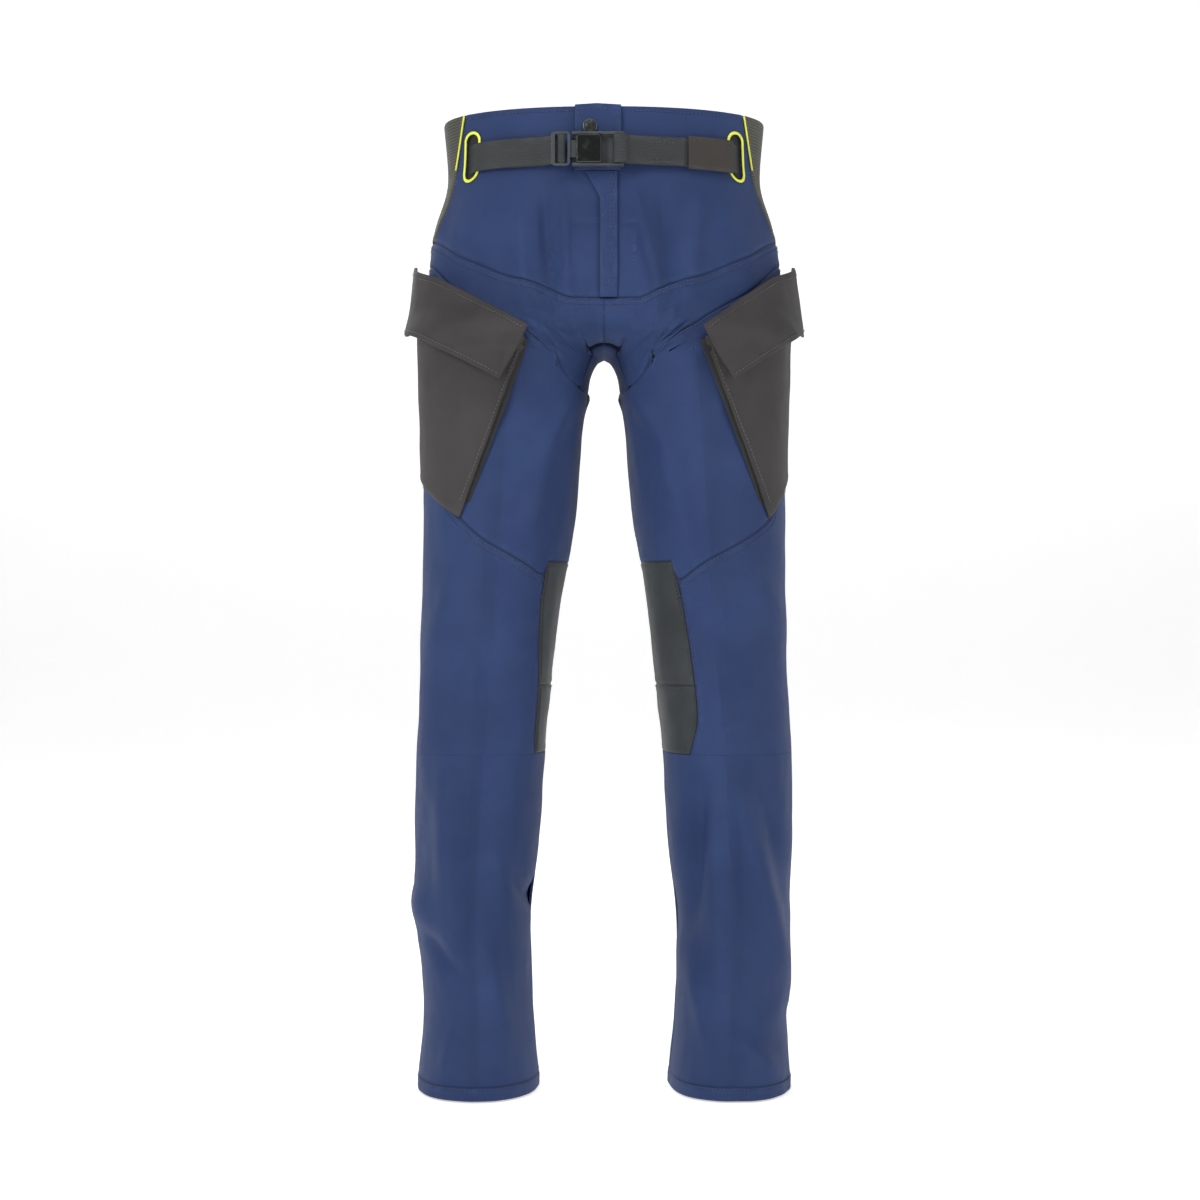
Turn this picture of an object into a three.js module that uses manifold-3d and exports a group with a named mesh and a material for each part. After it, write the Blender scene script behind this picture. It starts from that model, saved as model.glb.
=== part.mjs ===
// Riding trousers with a webbing belt, cargo pockets and inner-knee grip panels, standing as worn.
// Millimetres, +Z up, the front faces -Y and the wearer's left is +X. The origin is the centre of the
// waist opening, so everything hangs below it.
import * as THREE from 'three';
import { mergeVertices } from 'three/addons/utils/BufferGeometryUtils.js';
import Module from 'manifold-3d';

const wasm = await Module();
wasm.setup();

// ---- driving dimensions ----
const outseam = 1060; // waist edge to hem, down the side
const rise = 257; // waist edge to the crotch
const waistWidth = 354;
const waistDepth = 196;
const kneeWidth = 148; // a leg lying flat, at the knee
const hemWidth = 136;
const fabric = 2.6; // thickness of a shell panel
const seamGap = 0.46; // each panel stops this short of its seam line
const layerGap = 0.5; // between two layers that lie on each other
const roundness = 2.2; // 2 is an ellipse, more is squarer
const crotchRadius = 10; // how softly the two legs run into each other
const crotchReach = 30; // how far from the middle that softening is felt

const crotchZ = -rise;
const hemZ = -outseam;
const inseam = outseam - rise;
const frontY = -waistDepth / 2; // the centre front is straight, for the zip
const seatZ = -0.8 * rise; // where the centre front starts to curve under
const partingZ = -0.68 * rise; // above this no hollow runs between the two halves

// ---- body and leg sections ----
// Each half of the garment is an oval at every height: its centre out from the middle, half its width,
// half its depth, and (below the seat) how far its centre lies behind the middle.
const level = (share) => -rise * share;
const legLevel = (share) => crotchZ - inseam * share;
const sections = [
  { z: level(0), centre: 0, half: waistWidth / 2, deep: waistDepth / 2, back: 0 },
  { z: level(0.23), centre: 6.5, half: waistWidth / 2 - 10.5, deep: 104, back: 6 },
  { z: level(0.47), centre: 32.5, half: 157.5, deep: 114, back: 14 },
  { z: level(0.66), centre: 50.5, half: 145.5, deep: 117, back: 13 },
  { z: level(0.8), centre: 64, half: 134, deep: 116, back: 7 },
  { z: level(0.875), centre: 78, half: 120.5, deep: 114, back: 5 },
  { z: level(0.953), centre: 93.5, half: 105.5, deep: 110, back: 4 },
  { z: level(1), centre: 99.5, half: 99.5, deep: 107, back: 3 },
  { z: legLevel(0.029), centre: 104.5, half: 94.5, deep: 105, back: 3 },
  { z: legLevel(0.056), centre: 106, half: 93, deep: 102, back: 4 },
  { z: legLevel(0.111), centre: 109.4, half: 89.6, deep: 98, back: 5 },
  { z: legLevel(0.222), centre: 115.2, half: 85.4, deep: 90, back: 4 },
  { z: legLevel(0.3325), centre: 123.1, half: kneeWidth / 2 + 3.5, deep: 83, back: 1 },
  { z: legLevel(0.442), centre: 129.8, half: kneeWidth / 2, deep: 79, back: 0 },
  { z: legLevel(0.553), centre: 136.7, half: 71.8, deep: 78, back: 5 },
  { z: legLevel(0.664), centre: 140, half: 69.5, deep: 79, back: 9 },
  { z: legLevel(0.773), centre: 143.5, half: 62.5, deep: 79, back: 9 },
  { z: legLevel(0.884), centre: 139.6, half: hemWidth / 2 - 7.6, deep: 80, back: 7 },
  { z: legLevel(1), centre: 139, half: hemWidth / 2, deep: 86, back: 5 },
];

const lerp = (a, b, t) => a + (b - a) * t;
const clamp = (value, low, high) => Math.min(high, Math.max(low, value));
const signedPower = (value, power) => Math.sign(value) * Math.abs(value) ** power;

// Slope of one column of the table at row i, kept flat where the values turn.
function slopeAt(key, i) {
  const rate = (j) => (sections[j + 1][key] - sections[j][key]) / (sections[j + 1].z - sections[j].z);
  if (i === 0) return rate(0);
  if (i === sections.length - 1) return rate(i - 1);
  const before = rate(i - 1);
  const after = rate(i);
  return before * after <= 0 ? 0 : (2 * before * after) / (before + after);
}

// A column of the table at any height, as a smooth curve through its rows.
function valueAt(key, z) {
  const height = clamp(z, hemZ, 0);
  let i = 0;
  while (i < sections.length - 2 && height < sections[i + 1].z) i += 1;
  const span = sections[i + 1].z - sections[i].z;
  const t = (height - sections[i].z) / span;
  const bend = t * t * (3 - 2 * t);
  const ease = t * (1 - t);
  return lerp(sections[i][key], sections[i + 1][key], bend)
    + ease * span * ((1 - t) * slopeAt(key, i) - t * slopeAt(key, i + 1));
}

// The oval at height z. start is the angle at which it meets the middle plane, 0 once the legs part.
function ovalAt(z) {
  const centre = valueAt('centre', z);
  const half = valueAt('half', z);
  const deep = valueAt('deep', z);
  const meet = Math.min(centre / half, 1);
  const parted = 1 - THREE.MathUtils.smoothstep(z, crotchZ, partingZ);
  const middle = deep * (1 - parted * (1 - (1 - meet ** roundness) ** (1 / roundness)));
  const eased = THREE.MathUtils.smoothstep(z, crotchZ, seatZ);
  const back = lerp(valueAt('back', z), frontY + middle, z >= crotchZ ? eased : 0);
  const start = z >= crotchZ ? Math.acos(meet ** (roundness / 2)) : 0;
  return { centre, half, deep, back, parted, start };
}

// Legs that would meet in a crease run together softly instead.
const softened = (x) => Math.sqrt(x * x + 2 * crotchRadius * x * Math.exp(-x / crotchReach));

function hardened(x) {
  let low = 0;
  let high = x;
  for (let i = 0; i < 40; i += 1) {
    const mid = (low + high) / 2;
    if (softened(mid) < x) low = mid;
    else high = mid;
  }
  return low;
}

// A point round the left half at height z: sweep 0 is the centre front or inseam, 0.5 the outseam, 1 the
// centre back or inseam. Above the crotch a sweep below 0 or past 1 lies on the other half.
function onSurface(sweep, z) {
  const oval = ovalAt(z);
  let turn = sweep;
  let mirror = 1;
  if (z >= crotchZ && (sweep < 0 || sweep > 1)) {
    turn = sweep < 0 ? -sweep : 2 - sweep;
    mirror = -1;
  }
  const angle = oval.start + turn * 2 * (Math.PI - oval.start);
  const power = 2 / roundness;
  const x = oval.centre - oval.half * signedPower(Math.cos(angle), power);
  const reach = Math.abs(Math.sin(angle)) ** power;
  const hollow = x < oval.centre ? oval.parted * (1 - reach) : 1 - reach;
  const y = oval.back - oval.deep * Math.sign(Math.sin(angle)) * (1 - hollow);
  return new THREE.Vector3(mirror * softened(Math.max(x, 0)), y, z);
}

const sweepStep = 0.004;

function acrossAt(sweep, z) {
  return onSurface(sweep + sweepStep, z).sub(onSurface(sweep - sweepStep, z)).divideScalar(2 * sweepStep);
}

// The same point moved outwards, square to the fabric in plan.
function offSurface(sweep, z, out) {
  const along = acrossAt(sweep, z).normalize();
  return onSurface(sweep, z).add(new THREE.Vector3(along.y, -along.x, 0).multiplyScalar(out));
}

// The sweep at which the front of the left half lies x out from the middle.
function sweepAt(x, z) {
  const oval = ovalAt(z);
  const share = clamp((oval.centre - hardened(Math.max(x, 0))) / oval.half, -1, 1);
  const angle = Math.acos(signedPower(share, roundness / 2));
  return clamp((angle - oval.start) / (2 * (Math.PI - oval.start)), 0, 0.5);
}

// ---- solids ----
const columnPitch = 0.03; // sweep between the columns that all panels share

function meshGeometry(points, triangles) {
  const geometry = new THREE.BufferGeometry();
  geometry.setAttribute('position', new THREE.Float32BufferAttribute(points.flatMap((p) => [p.x, p.y, p.z]), 3));
  geometry.setIndex(triangles);
  return outward(geometry);
}

// Turns a closed geometry's faces outwards.
function outward(geometry) {
  const p = geometry.attributes.position;
  const index = geometry.index.array;
  const [a, b, c] = [new THREE.Vector3(), new THREE.Vector3(), new THREE.Vector3()];
  let volume = 0;
  for (let i = 0; i < index.length; i += 3) {
    a.fromBufferAttribute(p, index[i]);
    b.fromBufferAttribute(p, index[i + 1]);
    c.fromBufferAttribute(p, index[i + 2]);
    volume += a.dot(b.cross(c));
  }
  if (volume < 0) geometry.setIndex(Array.from(index).reverse());
  return geometry;
}

// Closes two facing grids of points into one thin solid. looped joins the last column to the first.
function slab(outerGrid, innerGrid, looped = false) {
  const columns = outerGrid.length;
  const rows = outerGrid[0].length;
  const points = [...outerGrid.flat(), ...innerGrid.flat()];
  const inner = columns * rows;
  const at = (c, r) => (c % columns) * rows + r;
  const triangles = [];
  const quad = (p, q, r, s) => triangles.push(p, q, r, p, r, s);
  const cells = looped ? columns : columns - 1;
  for (let c = 0; c < cells; c += 1) {
    for (let r = 0; r < rows - 1; r += 1) {
      const corners = [at(c, r), at(c + 1, r), at(c + 1, r + 1), at(c, r + 1)];
      quad(...corners);
      const [p, q, s, t] = corners.map((corner) => corner + inner);
      triangles.push(p, s, q, p, t, s);
    }
    quad(at(c, 0), at(c, 0) + inner, at(c + 1, 0) + inner, at(c + 1, 0));
    quad(at(c, rows - 1), at(c + 1, rows - 1), at(c + 1, rows - 1) + inner, at(c, rows - 1) + inner);
  }
  if (!looped) {
    for (let r = 0; r < rows - 1; r += 1) {
      quad(at(0, r), at(0, r + 1), at(0, r + 1) + inner, at(0, r) + inner);
      const last = at(columns - 1, r);
      quad(last, last + inner, last + 1 + inner, last + 1);
    }
  }
  return meshGeometry(points, triangles);
}

const asFunction = (value) => (typeof value === 'function' ? value : () => value);

// Where a panel's columns lie, as shares of its width: on the shared columns and on its seams' corners.
function columnShares(start, end, corners) {
  const shares = [0, ...corners, 1];
  for (let i = Math.ceil(start / columnPitch); i * columnPitch < end; i += 1) {
    const share = (i * columnPitch - start) / (end - start);
    if (shares.every((other) => Math.abs(other - share) * (end - start) > columnPitch / 5)) shares.push(share);
  }
  return shares.sort((a, b) => a - b);
}

// A panel of the garment between two edges that run down it (from, to: sweep at a height) and two that run
// round it (top, bottom: height at a sweep). outer and inner are its faces' distances from the surface.
// A seam's corners get columns of their own, as do those of the seams in match, so that neighbours bend at the
// same places. both lets it run across the middle below the crotch too.
function panel({ side = 1, from, to, top, bottom, rows, outer = 0, inner, gap = seamGap, looped, both, match = [] }) {
  const [edgeA, edgeB, edgeTop, edgeBottom, out] = [from, to, top, bottom, outer].map(asFunction);
  const deep = asFunction(inner ?? ((u, v) => out(u, v) - fabric));
  const middleZ = (edgeTop(0.25) + edgeBottom(0.25)) / 2;
  const shareOf = (corner, z) => (corner - edgeA(z)) / (edgeB(z) - edgeA(z));
  const corners = [edgeTop, edgeBottom].flatMap((edge) => (edge.corners ?? []).map((corner) => shareOf(corner, edge(corner))))
    .concat(match.map((corner) => shareOf(corner, middleZ)))
    .filter((u) => u > 0.01 && u < 0.99);
  const across = columnShares(edgeA(middleZ), edgeB(middleZ), corners);
  const outerGrid = [];
  const innerGrid = [];
  for (const u of looped ? across.slice(0, -1) : across) {
    outerGrid.push([]);
    innerGrid.push([]);
    for (const v of evenly(rows)) {
      let z = (edgeTop(0.25) + edgeBottom(0.25)) / 2;
      let sweep = 0.25;
      for (let pass = 0; pass < 12; pass += 1) {
        const inset = looped ? 0 : gap / acrossAt(clamp(sweep, 0.05, 0.95), z).length();
        sweep = lerp(edgeA(z) + inset, edgeB(z) - inset, u);
        z = lerp(edgeTop(sweep) - gap, edgeBottom(sweep) + gap, v);
      }
      const mirror = both && sweep < 0 ? -1 : 1;
      for (const [grid, distance] of [[outerGrid, out(u, v)], [innerGrid, deep(u, v)]]) {
        const point = offSurface(sweep * mirror, z, distance);
        point.x *= side * mirror;
        grid.at(-1).push(point);
      }
    }
  }
  return slab(outerGrid, innerGrid, looped);
}

const evenly = (cells) => Array.from({ length: cells + 1 }, (_, i) => i / cells);

// A seam of straight runs between corners given as [sweep, height].
function polyline(corners) {
  const line = (sweep) => {
    let i = 0;
    while (i < corners.length - 2 && sweep > corners[i + 1][0]) i += 1;
    const [a, b] = [corners[i], corners[i + 1]];
    return lerp(a[1], b[1], clamp((sweep - a[0]) / (b[0] - a[0]), 0, 1));
  };
  line.corners = corners.map(([sweep]) => sweep);
  return line;
}

// The same seam carried over the middle plane at a sweep, 0 at the front or 1 at the back.
function acrossMiddle(line, middle) {
  const whole = (sweep) => line(middle === 0 ? Math.abs(sweep) : Math.min(sweep, 2 - sweep));
  whole.corners = line.corners.flatMap((corner) => [corner, 2 * middle - corner]);
  return whole;
}

// A seam across the front, through corners given as [distance from the middle, height].
const frontSeam = (corners) => corners.map(([x, z]) => [sweepAt(x, z), z]);

// An edge that runs down the front, through the same kind of corners, from the top.
function frontEdge(corners) {
  return (z) => {
    let i = 0;
    while (i < corners.length - 2 && z < corners[i + 1][1]) i += 1;
    const [a, b] = [corners[i], corners[i + 1]];
    return sweepAt(lerp(a[0], b[0], clamp((z - a[1]) / (b[1] - a[1]), 0, 1)), z);
  };
}

// A flat outline in a plane, thickened. Faces of the plane: 'front' is x-z with the depth along -Y from y,
// 'plan' is x-y with the depth along +Z from z, 'end' is y-z with the depth along +X from x.
function plate(shape, plane, start, depth, bevel = 0) {
  const geometry = new THREE.ExtrudeGeometry(shape, {
    depth: depth - 2 * bevel, bevelEnabled: bevel > 0, bevelSize: bevel, bevelThickness: bevel,
    bevelOffset: -bevel, bevelSegments: 1, curveSegments: 4,
  });
  geometry.translate(0, 0, bevel);
  if (plane === 'front') geometry.rotateX(Math.PI / 2).translate(0, start, 0);
  if (plane === 'plan') geometry.translate(0, 0, start);
  if (plane === 'end') geometry.applyMatrix4(new THREE.Matrix4().set(0, 0, 1, start, 1, 0, 0, 0, 0, 1, 0, 0, 0, 0, 0, 1));
  return geometry;
}

function outline(corners) {
  return new THREE.Shape(corners.map(([x, y]) => new THREE.Vector2(x, y)));
}

function rectangle(x0, y0, x1, y1) {
  return outline([[x0, y0], [x1, y0], [x1, y1], [x0, y1]]);
}

function roundedRectangle(x0, y0, x1, y1, radius) {
  const cornerSteps = 3;
  const middles = [[x1 - radius, y0 + radius], [x1 - radius, y1 - radius], [x0 + radius, y1 - radius], [x0 + radius, y0 + radius]];
  const corners = [];
  middles.forEach(([x, y], corner) => {
    for (let i = 0; i <= cornerSteps; i += 1) {
      const angle = (corner - 1 + i / cornerSteps) * (Math.PI / 2);
      corners.push([x + radius * Math.cos(angle), y + radius * Math.sin(angle)]);
    }
  });
  return outline(corners);
}

function circle(x, y, radius) {
  return outline(evenly(12).slice(0, -1).map((turn) => {
    const angle = turn * 2 * Math.PI;
    return [x + radius * Math.cos(angle), y + radius * Math.sin(angle)];
  }));
}

function block(x0, y0, z0, x1, y1, z1) {
  return new THREE.BoxGeometry(x1 - x0, y1 - y0, z1 - z0).translate((x0 + x1) / 2, (y0 + y1) / 2, (z0 + z1) / 2);
}

// A turned piece whose axis points forwards (-Y) at x, z; the profile is [radius, distance in front of y = 0].
function turned(profile, x, z) {
  const points = profile.map(([radius, forward]) => new THREE.Vector2(radius, forward));
  return new THREE.LatheGeometry(points, 16).scale(1, -1, 1).translate(x, 0, z);
}

const grain = 1e-3; // coordinates are rounded to this

// Position-only geometry with shared corners and no triangles of zero width.
function merged(geometry) {
  const bare = geometry.clone();
  bare.deleteAttribute('normal');
  bare.deleteAttribute('uv');
  const rounded = bare.attributes.position.array;
  rounded.forEach((value, i) => { rounded[i] = Math.round(value / grain) * grain; });
  const shared = mergeVertices(bare, 1e-4);
  const index = shared.index.array;
  const kept = [];
  for (let i = 0; i < index.length; i += 3) {
    const [a, b, c] = [index[i], index[i + 1], index[i + 2]];
    if (a !== b && b !== c && c !== a) kept.push(a, b, c);
  }
  shared.setIndex(kept);
  return outward(shared);
}

function toManifold(geometry) {
  const bare = merged(geometry);
  return new wasm.Manifold(new wasm.Mesh({
    numProp: 3,
    vertProperties: new Float32Array(bare.attributes.position.array),
    triVerts: new Uint32Array(bare.index.array),
  }));
}

function fromManifold(solid) {
  const { vertProperties, triVerts } = solid.getMesh();
  const geometry = new THREE.BufferGeometry();
  geometry.setAttribute('position', new THREE.BufferAttribute(vertProperties, 3));
  geometry.setIndex(new THREE.BufferAttribute(triVerts, 1));
  return geometry;
}

const cut = (body, ...tools) => fromManifold(tools.reduce((left, tool) => left.subtract(toManifold(tool)), toManifold(body)));
const join = (body, ...others) => fromManifold(others.reduce((sum, other) => sum.add(toManifold(other)), toManifold(body)));

// ---- scene graph ----
const trousers = new THREE.Group();
const sides = [{ name: 'left', sign: 1 }, { name: 'right', sign: -1 }];

const finishes = {
  blue: { color: 0x35477a, roughness: 0.85, metalness: 0 },
  grey: { color: 0x55534f, roughness: 0.85, metalness: 0 },
  stretch: { color: 0x4a4a48, roughness: 0.9, metalness: 0 },
  grip: { color: 0x24292b, roughness: 0.55, metalness: 0 },
  bellows: { color: 0x1c1c1d, roughness: 0.9, metalness: 0 },
  yellow: { color: 0xdfe650, roughness: 0.6, metalness: 0 },
  webbing: { color: 0x34383a, roughness: 0.8, metalness: 0 },
  patch: { color: 0x423c38, roughness: 0.7, metalness: 0 },
  buckle: { color: 0x4b5152, roughness: 0.5, metalness: 0 },
  cover: { color: 0x141515, roughness: 0.25, metalness: 0 },
  metal: { color: 0x4a4c4e, roughness: 0.35, metalness: 1 },
  zip: { color: 0x1d2230, roughness: 0.5, metalness: 0 },
};

function add(name, geometry, finish) {
  const mesh = new THREE.Mesh(merged(geometry), new THREE.MeshStandardMaterial(finishes[finish]));
  mesh.name = name;
  trousers.add(mesh);
}

// ---- seam lines ----
const outseamSweep = 0.5;
const sideBackSweep = 0.66; // back edge of the stretch panel
const hipEase = 0.0025; // the seat keeps this much further off the outseam, over the curve of the hip
const gripBackSweep = 0.14; // how far the grip panels reach behind the inseam
const gussetReach = 45; // the gusset's reach in front of and behind the middle
const gussetDrop = 40; // how far it runs down each inner thigh
const gussetFront = gussetReach - fabric - 3.4; // it ends inside the panels in front and behind
const gussetBack = gussetReach - fabric - 1.6;
const bandTop = frontSeam([[0, -203], [35, -203], [73, -187], [100, -180], [140, -162], [188, -131]]);
const bandBottomOutside = frontSeam([[30, -292], [48, -268], [75, -244], [110, -222], [150, -197], [192, -156]]);
const thighBackZ = -292;
const thighInnerZ = -300;
const kneeZ = legLevel(0.447); // the knee's pivot, level with the seam of the grip panels
const kneeGap = 150; // the length of leg that bends
const kneeTopZ = kneeZ + kneeGap / 2;
const kneeBottomZ = kneeZ - kneeGap / 2;
const gripTopZ = -482;
const hemHeight = 15;
const gripEdges = {
  right: frontEdge([[62, -482], [68.8, -540], [71.5, -616], [76, -688], [76, -700]]),
  left: frontEdge([[74, -482], [84, -530], [97, -616], [100, -650], [92, -691]]),
};
const yokeSeam = polyline([...bandTop, [outseamSweep, -130]]);
const sideFront = frontEdge([[150, 0], [161, -60], [166, -80], [187, -131]]);

// ---- the crotch ----
// How far out from the middle the inner thigh lies at a depth y and height z, before softening.
function innerThigh(y, z) {
  const oval = ovalAt(z);
  return oval.centre - oval.half * (1 - depthShare(oval, y) ** roundness) ** (1 / roundness);
}

// How far round from the side a depth y lies on an oval's inner half, 0 at the side and 1 at the front.
const depthShare = (oval, y) => clamp(1 - (1 - Math.abs((y - oval.back) / oval.deep)) / oval.parted, 0, 1);

// The height at which the two halves meet in the middle, at a depth y.
function saddleZ(y) {
  let low = crotchZ;
  let high = crotchZ + 60;
  for (let i = 0; i < 40; i += 1) {
    const mid = (low + high) / 2;
    if (innerThigh(y, mid) > 0) low = mid;
    else high = mid;
  }
  return low;
}

function sweepAtDepth(y, z) {
  const oval = ovalAt(z);
  const angle = Math.asin(depthShare(oval, y) ** (roundness / 2));
  return Math.max((angle - oval.start) / (2 * (Math.PI - oval.start)), 0);
}

// The height at which a sweep near the middle lies at the gusset's edge, y from the middle plane.
function gussetEdgeZ(sweep, y) {
  let low = thighInnerZ;
  let high = saddleZ(y);
  for (let i = 0; i < 30; i += 1) {
    const mid = (low + high) / 2;
    if (sweepAtDepth(y, mid) > sweep) low = mid;
    else high = mid;
  }
  return low;
}

function addGusset() {
  const across = 8;
  const along = 6;
  const outerGrid = [];
  const innerGrid = [];
  for (let c = 0; c <= across; c += 1) {
    const w = (2 * c) / across - 1;
    outerGrid.push([]);
    innerGrid.push([]);
    for (let r = 0; r <= along; r += 1) {
      const y = lerp(-gussetFront, gussetBack, r / along);
      const z = saddleZ(y) - gussetDrop * Math.abs(w);
      const x = Math.sign(w) * softened(Math.max(innerThigh(y, z), 0));
      outerGrid.at(-1).push(new THREE.Vector3(x, y, z));
      innerGrid.at(-1).push(new THREE.Vector3(x * 1.0 + w * fabric, y, z + fabric * (1.2 - Math.abs(w))));
    }
  }
  add('crotch_gusset', slab(outerGrid, innerGrid), 'blue');
}

// ---- seams that meet the gusset ----
const seatInner = sweepAtDepth(gussetReach, thighBackZ - 3);
const bandInner = sweepAtDepth(-gussetReach, thighBackZ - 3);
const gussetSteps = 5;

// The gusset's edge in front (y below 0) or behind, as corners from the middle outwards.
const gussetEdge = (y, reach) => evenly(gussetSteps).map((t) => [t * reach, gussetEdgeZ(t * reach, y) + (y < 0 ? 6 : 1)]);

const bandBottom = polyline([...gussetEdge(-gussetReach, bandInner), ...bandBottomOutside, [outseamSweep, -155]]);
const backYokeBottom = polyline([[sideBackSweep, -150], [0.8, -128], [1, -96]]);
const seatTop = polyline([[outseamSweep, -130], [sideBackSweep, -150], [0.8, -128], [1, -96]]);
const seatBottom = polyline([
  [outseamSweep, thighBackZ],
  ...gussetEdge(gussetReach, seatInner).map(([sweep, z]) => [1 - sweep, z]).reverse(),
]);
const thighTop = polyline([[0, thighInnerZ], [bandInner, thighBackZ - 5], ...bandBottomOutside, [outseamSweep, -155]]);
const backThighTop = polyline([[outseamSweep, thighBackZ], [1 - seatInner, thighBackZ - 5], [1, thighInnerZ]]);
const gripBack = 1 - gripBackSweep;
const backThighBottom = polyline([
  [outseamSweep, kneeTopZ], [gripBack - 0.024, kneeTopZ], [gripBack - 0.016, gripTopZ], [1, gripTopZ],
]);

// The seam above the knee runs from the grip panel up to the pocket's tip and on to the outseam.
const kneeSeam = (name, corners, outseamZ) => polyline([
  [0, gripTopZ], [gripEdges[name](gripTopZ) + 0.002, gripTopZ], ...frontSeam(corners), [outseamSweep, outseamZ],
]);
const kneeSeams = {
  right: kneeSeam('right', [[70, -495], [121, -464], [154, -436], [178, -406]], -388),
  left: kneeSeam('left', [[84, -501], [116, -478], [176, -438], [190, -408]], -392),
};

// ---- shell panels above the knee ----
const slotX = 142;
const slotZ = -46;
const slotWidth = 17;
const slotHeight = 48;
const slotTilt = THREE.MathUtils.degToRad(7);
const snapX = -15;
const snapZ = -22;
const zipX = 5;
const rightFrontEdge = -2; // the wearer's right front stops here, under the fly
const leftFrontEdge = 12;
const studRadius = 2;

// The belt slot's frame on the left half: its middle, the direction round the body, and outwards.
const slotSweep = sweepAt(slotX, slotZ);
const slotAcross = acrossAt(slotSweep, slotZ);
const slotPerMm = 1 / slotAcross.length();

// A point beside the slot, with the slot's lean: right is round the body, up is along the slot.
function besideSlot(right, up, out) {
  const lean = right - up * Math.tan(slotTilt);
  return offSurface(slotSweep + lean * slotPerMm, slotZ + up, out);
}

// An upright loop round the slot, from one distance off the surface to another.
function slotLoop(grow, inside, outside) {
  const grids = [outside, inside].map((out) => {
    const ring = [];
    const steps = 20;
    for (let i = 0; i < steps; i += 1) {
      const angle = (i / steps) * 2 * Math.PI;
      const end = (slotHeight - slotWidth) / 2 * Math.sign(Math.sin(angle)) * (Math.abs(Math.sin(angle)) > 0.01 ? 1 : 0);
      const radius = slotWidth / 2 + grow;
      ring.push(besideSlot(radius * Math.cos(angle), end + radius * Math.sin(angle), out));
    }
    return ring;
  });
  return grids;
}

// The solid that cuts the slot through the front panel.
function slotCutter(sign) {
  const [outside, inside] = slotLoop(0, -fabric - 3, 3);
  const points = [...outside, ...inside].map((p) => new THREE.Vector3(p.x * sign, p.y, p.z));
  const n = outside.length;
  const triangles = [];
  for (let i = 0; i < n; i += 1) {
    const j = (i + 1) % n;
    triangles.push(i, j, j + n, i, j + n, i + n);
    if (i > 0 && i < n - 1) triangles.push(0, i + 1, i, n, n + i, n + i + 1);
  }
  return meshGeometry(points, triangles);
}

// The moulded ring round the slot.
function slotRing(sign) {
  const width = 2.6;
  const thick = 1.4;
  const lift = 0.6;
  const columns = [];
  const [outerTop, outerLow] = slotLoop(width, lift, lift + thick);
  const [innerTop, innerLow] = slotLoop(0.2, lift, lift + thick);
  for (let i = 0; i < outerTop.length; i += 1) columns.push([outerTop[i], outerLow[i], innerLow[i], innerTop[i]]);
  const points = columns.flat().map((p) => new THREE.Vector3(p.x * sign, p.y, p.z));
  const triangles = [];
  for (let i = 0; i < columns.length; i += 1) {
    const j = (i + 1) % columns.length;
    for (let k = 0; k < 4; k += 1) {
      const l = (k + 1) % 4;
      triangles.push(i * 4 + k, j * 4 + k, j * 4 + l, i * 4 + k, j * 4 + l, i * 4 + l);
    }
  }
  return meshGeometry(points, triangles);
}

function addUpperShell({ name, sign }) {
  const centreEdge = sign > 0 ? (z) => sweepAt(leftFrontEdge, z) : (z) => sweepAt(-rightFrontEdge, z);
  let yoke = panel({ side: sign, from: centreEdge, to: sideFront, top: 0, bottom: yokeSeam, rows: 8 });
  yoke = cut(yoke, slotCutter(sign));
  if (sign < 0) {
    yoke = cut(yoke, new THREE.CylinderGeometry(studRadius + 0.5, studRadius + 0.5, 20, 12).translate(snapX, frontY, snapZ));
  }
  add(`front_yoke_${name}`, yoke, 'blue');
  add(`slot_trim_${name}`, slotRing(sign), 'yellow');
  const pipingHalf = 1.2;
  add(`seam_piping_${name}`, panel({
    side: sign, from: (z) => sideFront(z) - pipingHalf * slotPerMm, to: (z) => sideFront(z) + pipingHalf * slotPerMm,
    top: -1, bottom: -56, rows: 3, outer: 2.2, inner: 0.6, gap: 0,
  }), 'yellow');
  const sideBottom = polyline([[0.46, -128], [outseamSweep, -130], [sideBackSweep, -150]]);
  add(`side_stretch_${name}`, panel({
    side: sign, from: sideFront, to: sideBackSweep, top: 0, bottom: sideBottom, rows: 5,
  }), 'stretch');
  add(`seat_${name}`, panel({
    side: sign, from: outseamSweep + hipEase, to: 1, top: seatTop, bottom: seatBottom, rows: 6,
  }), 'blue');
  add(`front_thigh_${name}`, panel({
    side: sign, from: 0, to: outseamSweep, top: thighTop, bottom: kneeSeams[name], rows: 6, match: yokeSeam.corners,
  }), 'blue');
  add(`back_thigh_${name}`, panel({
    side: sign, from: outseamSweep, to: 1, top: backThighTop, bottom: backThighBottom, rows: 5,
  }), 'blue');
}


function addBand() {
  add('hip_band', panel({
    from: -outseamSweep, to: outseamSweep, both: true,
    top: acrossMiddle(yokeSeam, 0), bottom: acrossMiddle(bandBottom, 0), rows: 4,
    match: [...kneeSeams.left.corners, ...kneeSeams.right.corners.map((corner) => -corner)],
  }), 'blue');
  add('back_yoke', panel({
    from: sideBackSweep, to: 2 - sideBackSweep, top: 0, bottom: acrossMiddle(backYokeBottom, 1), rows: 4,
  }), 'blue');
}

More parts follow.
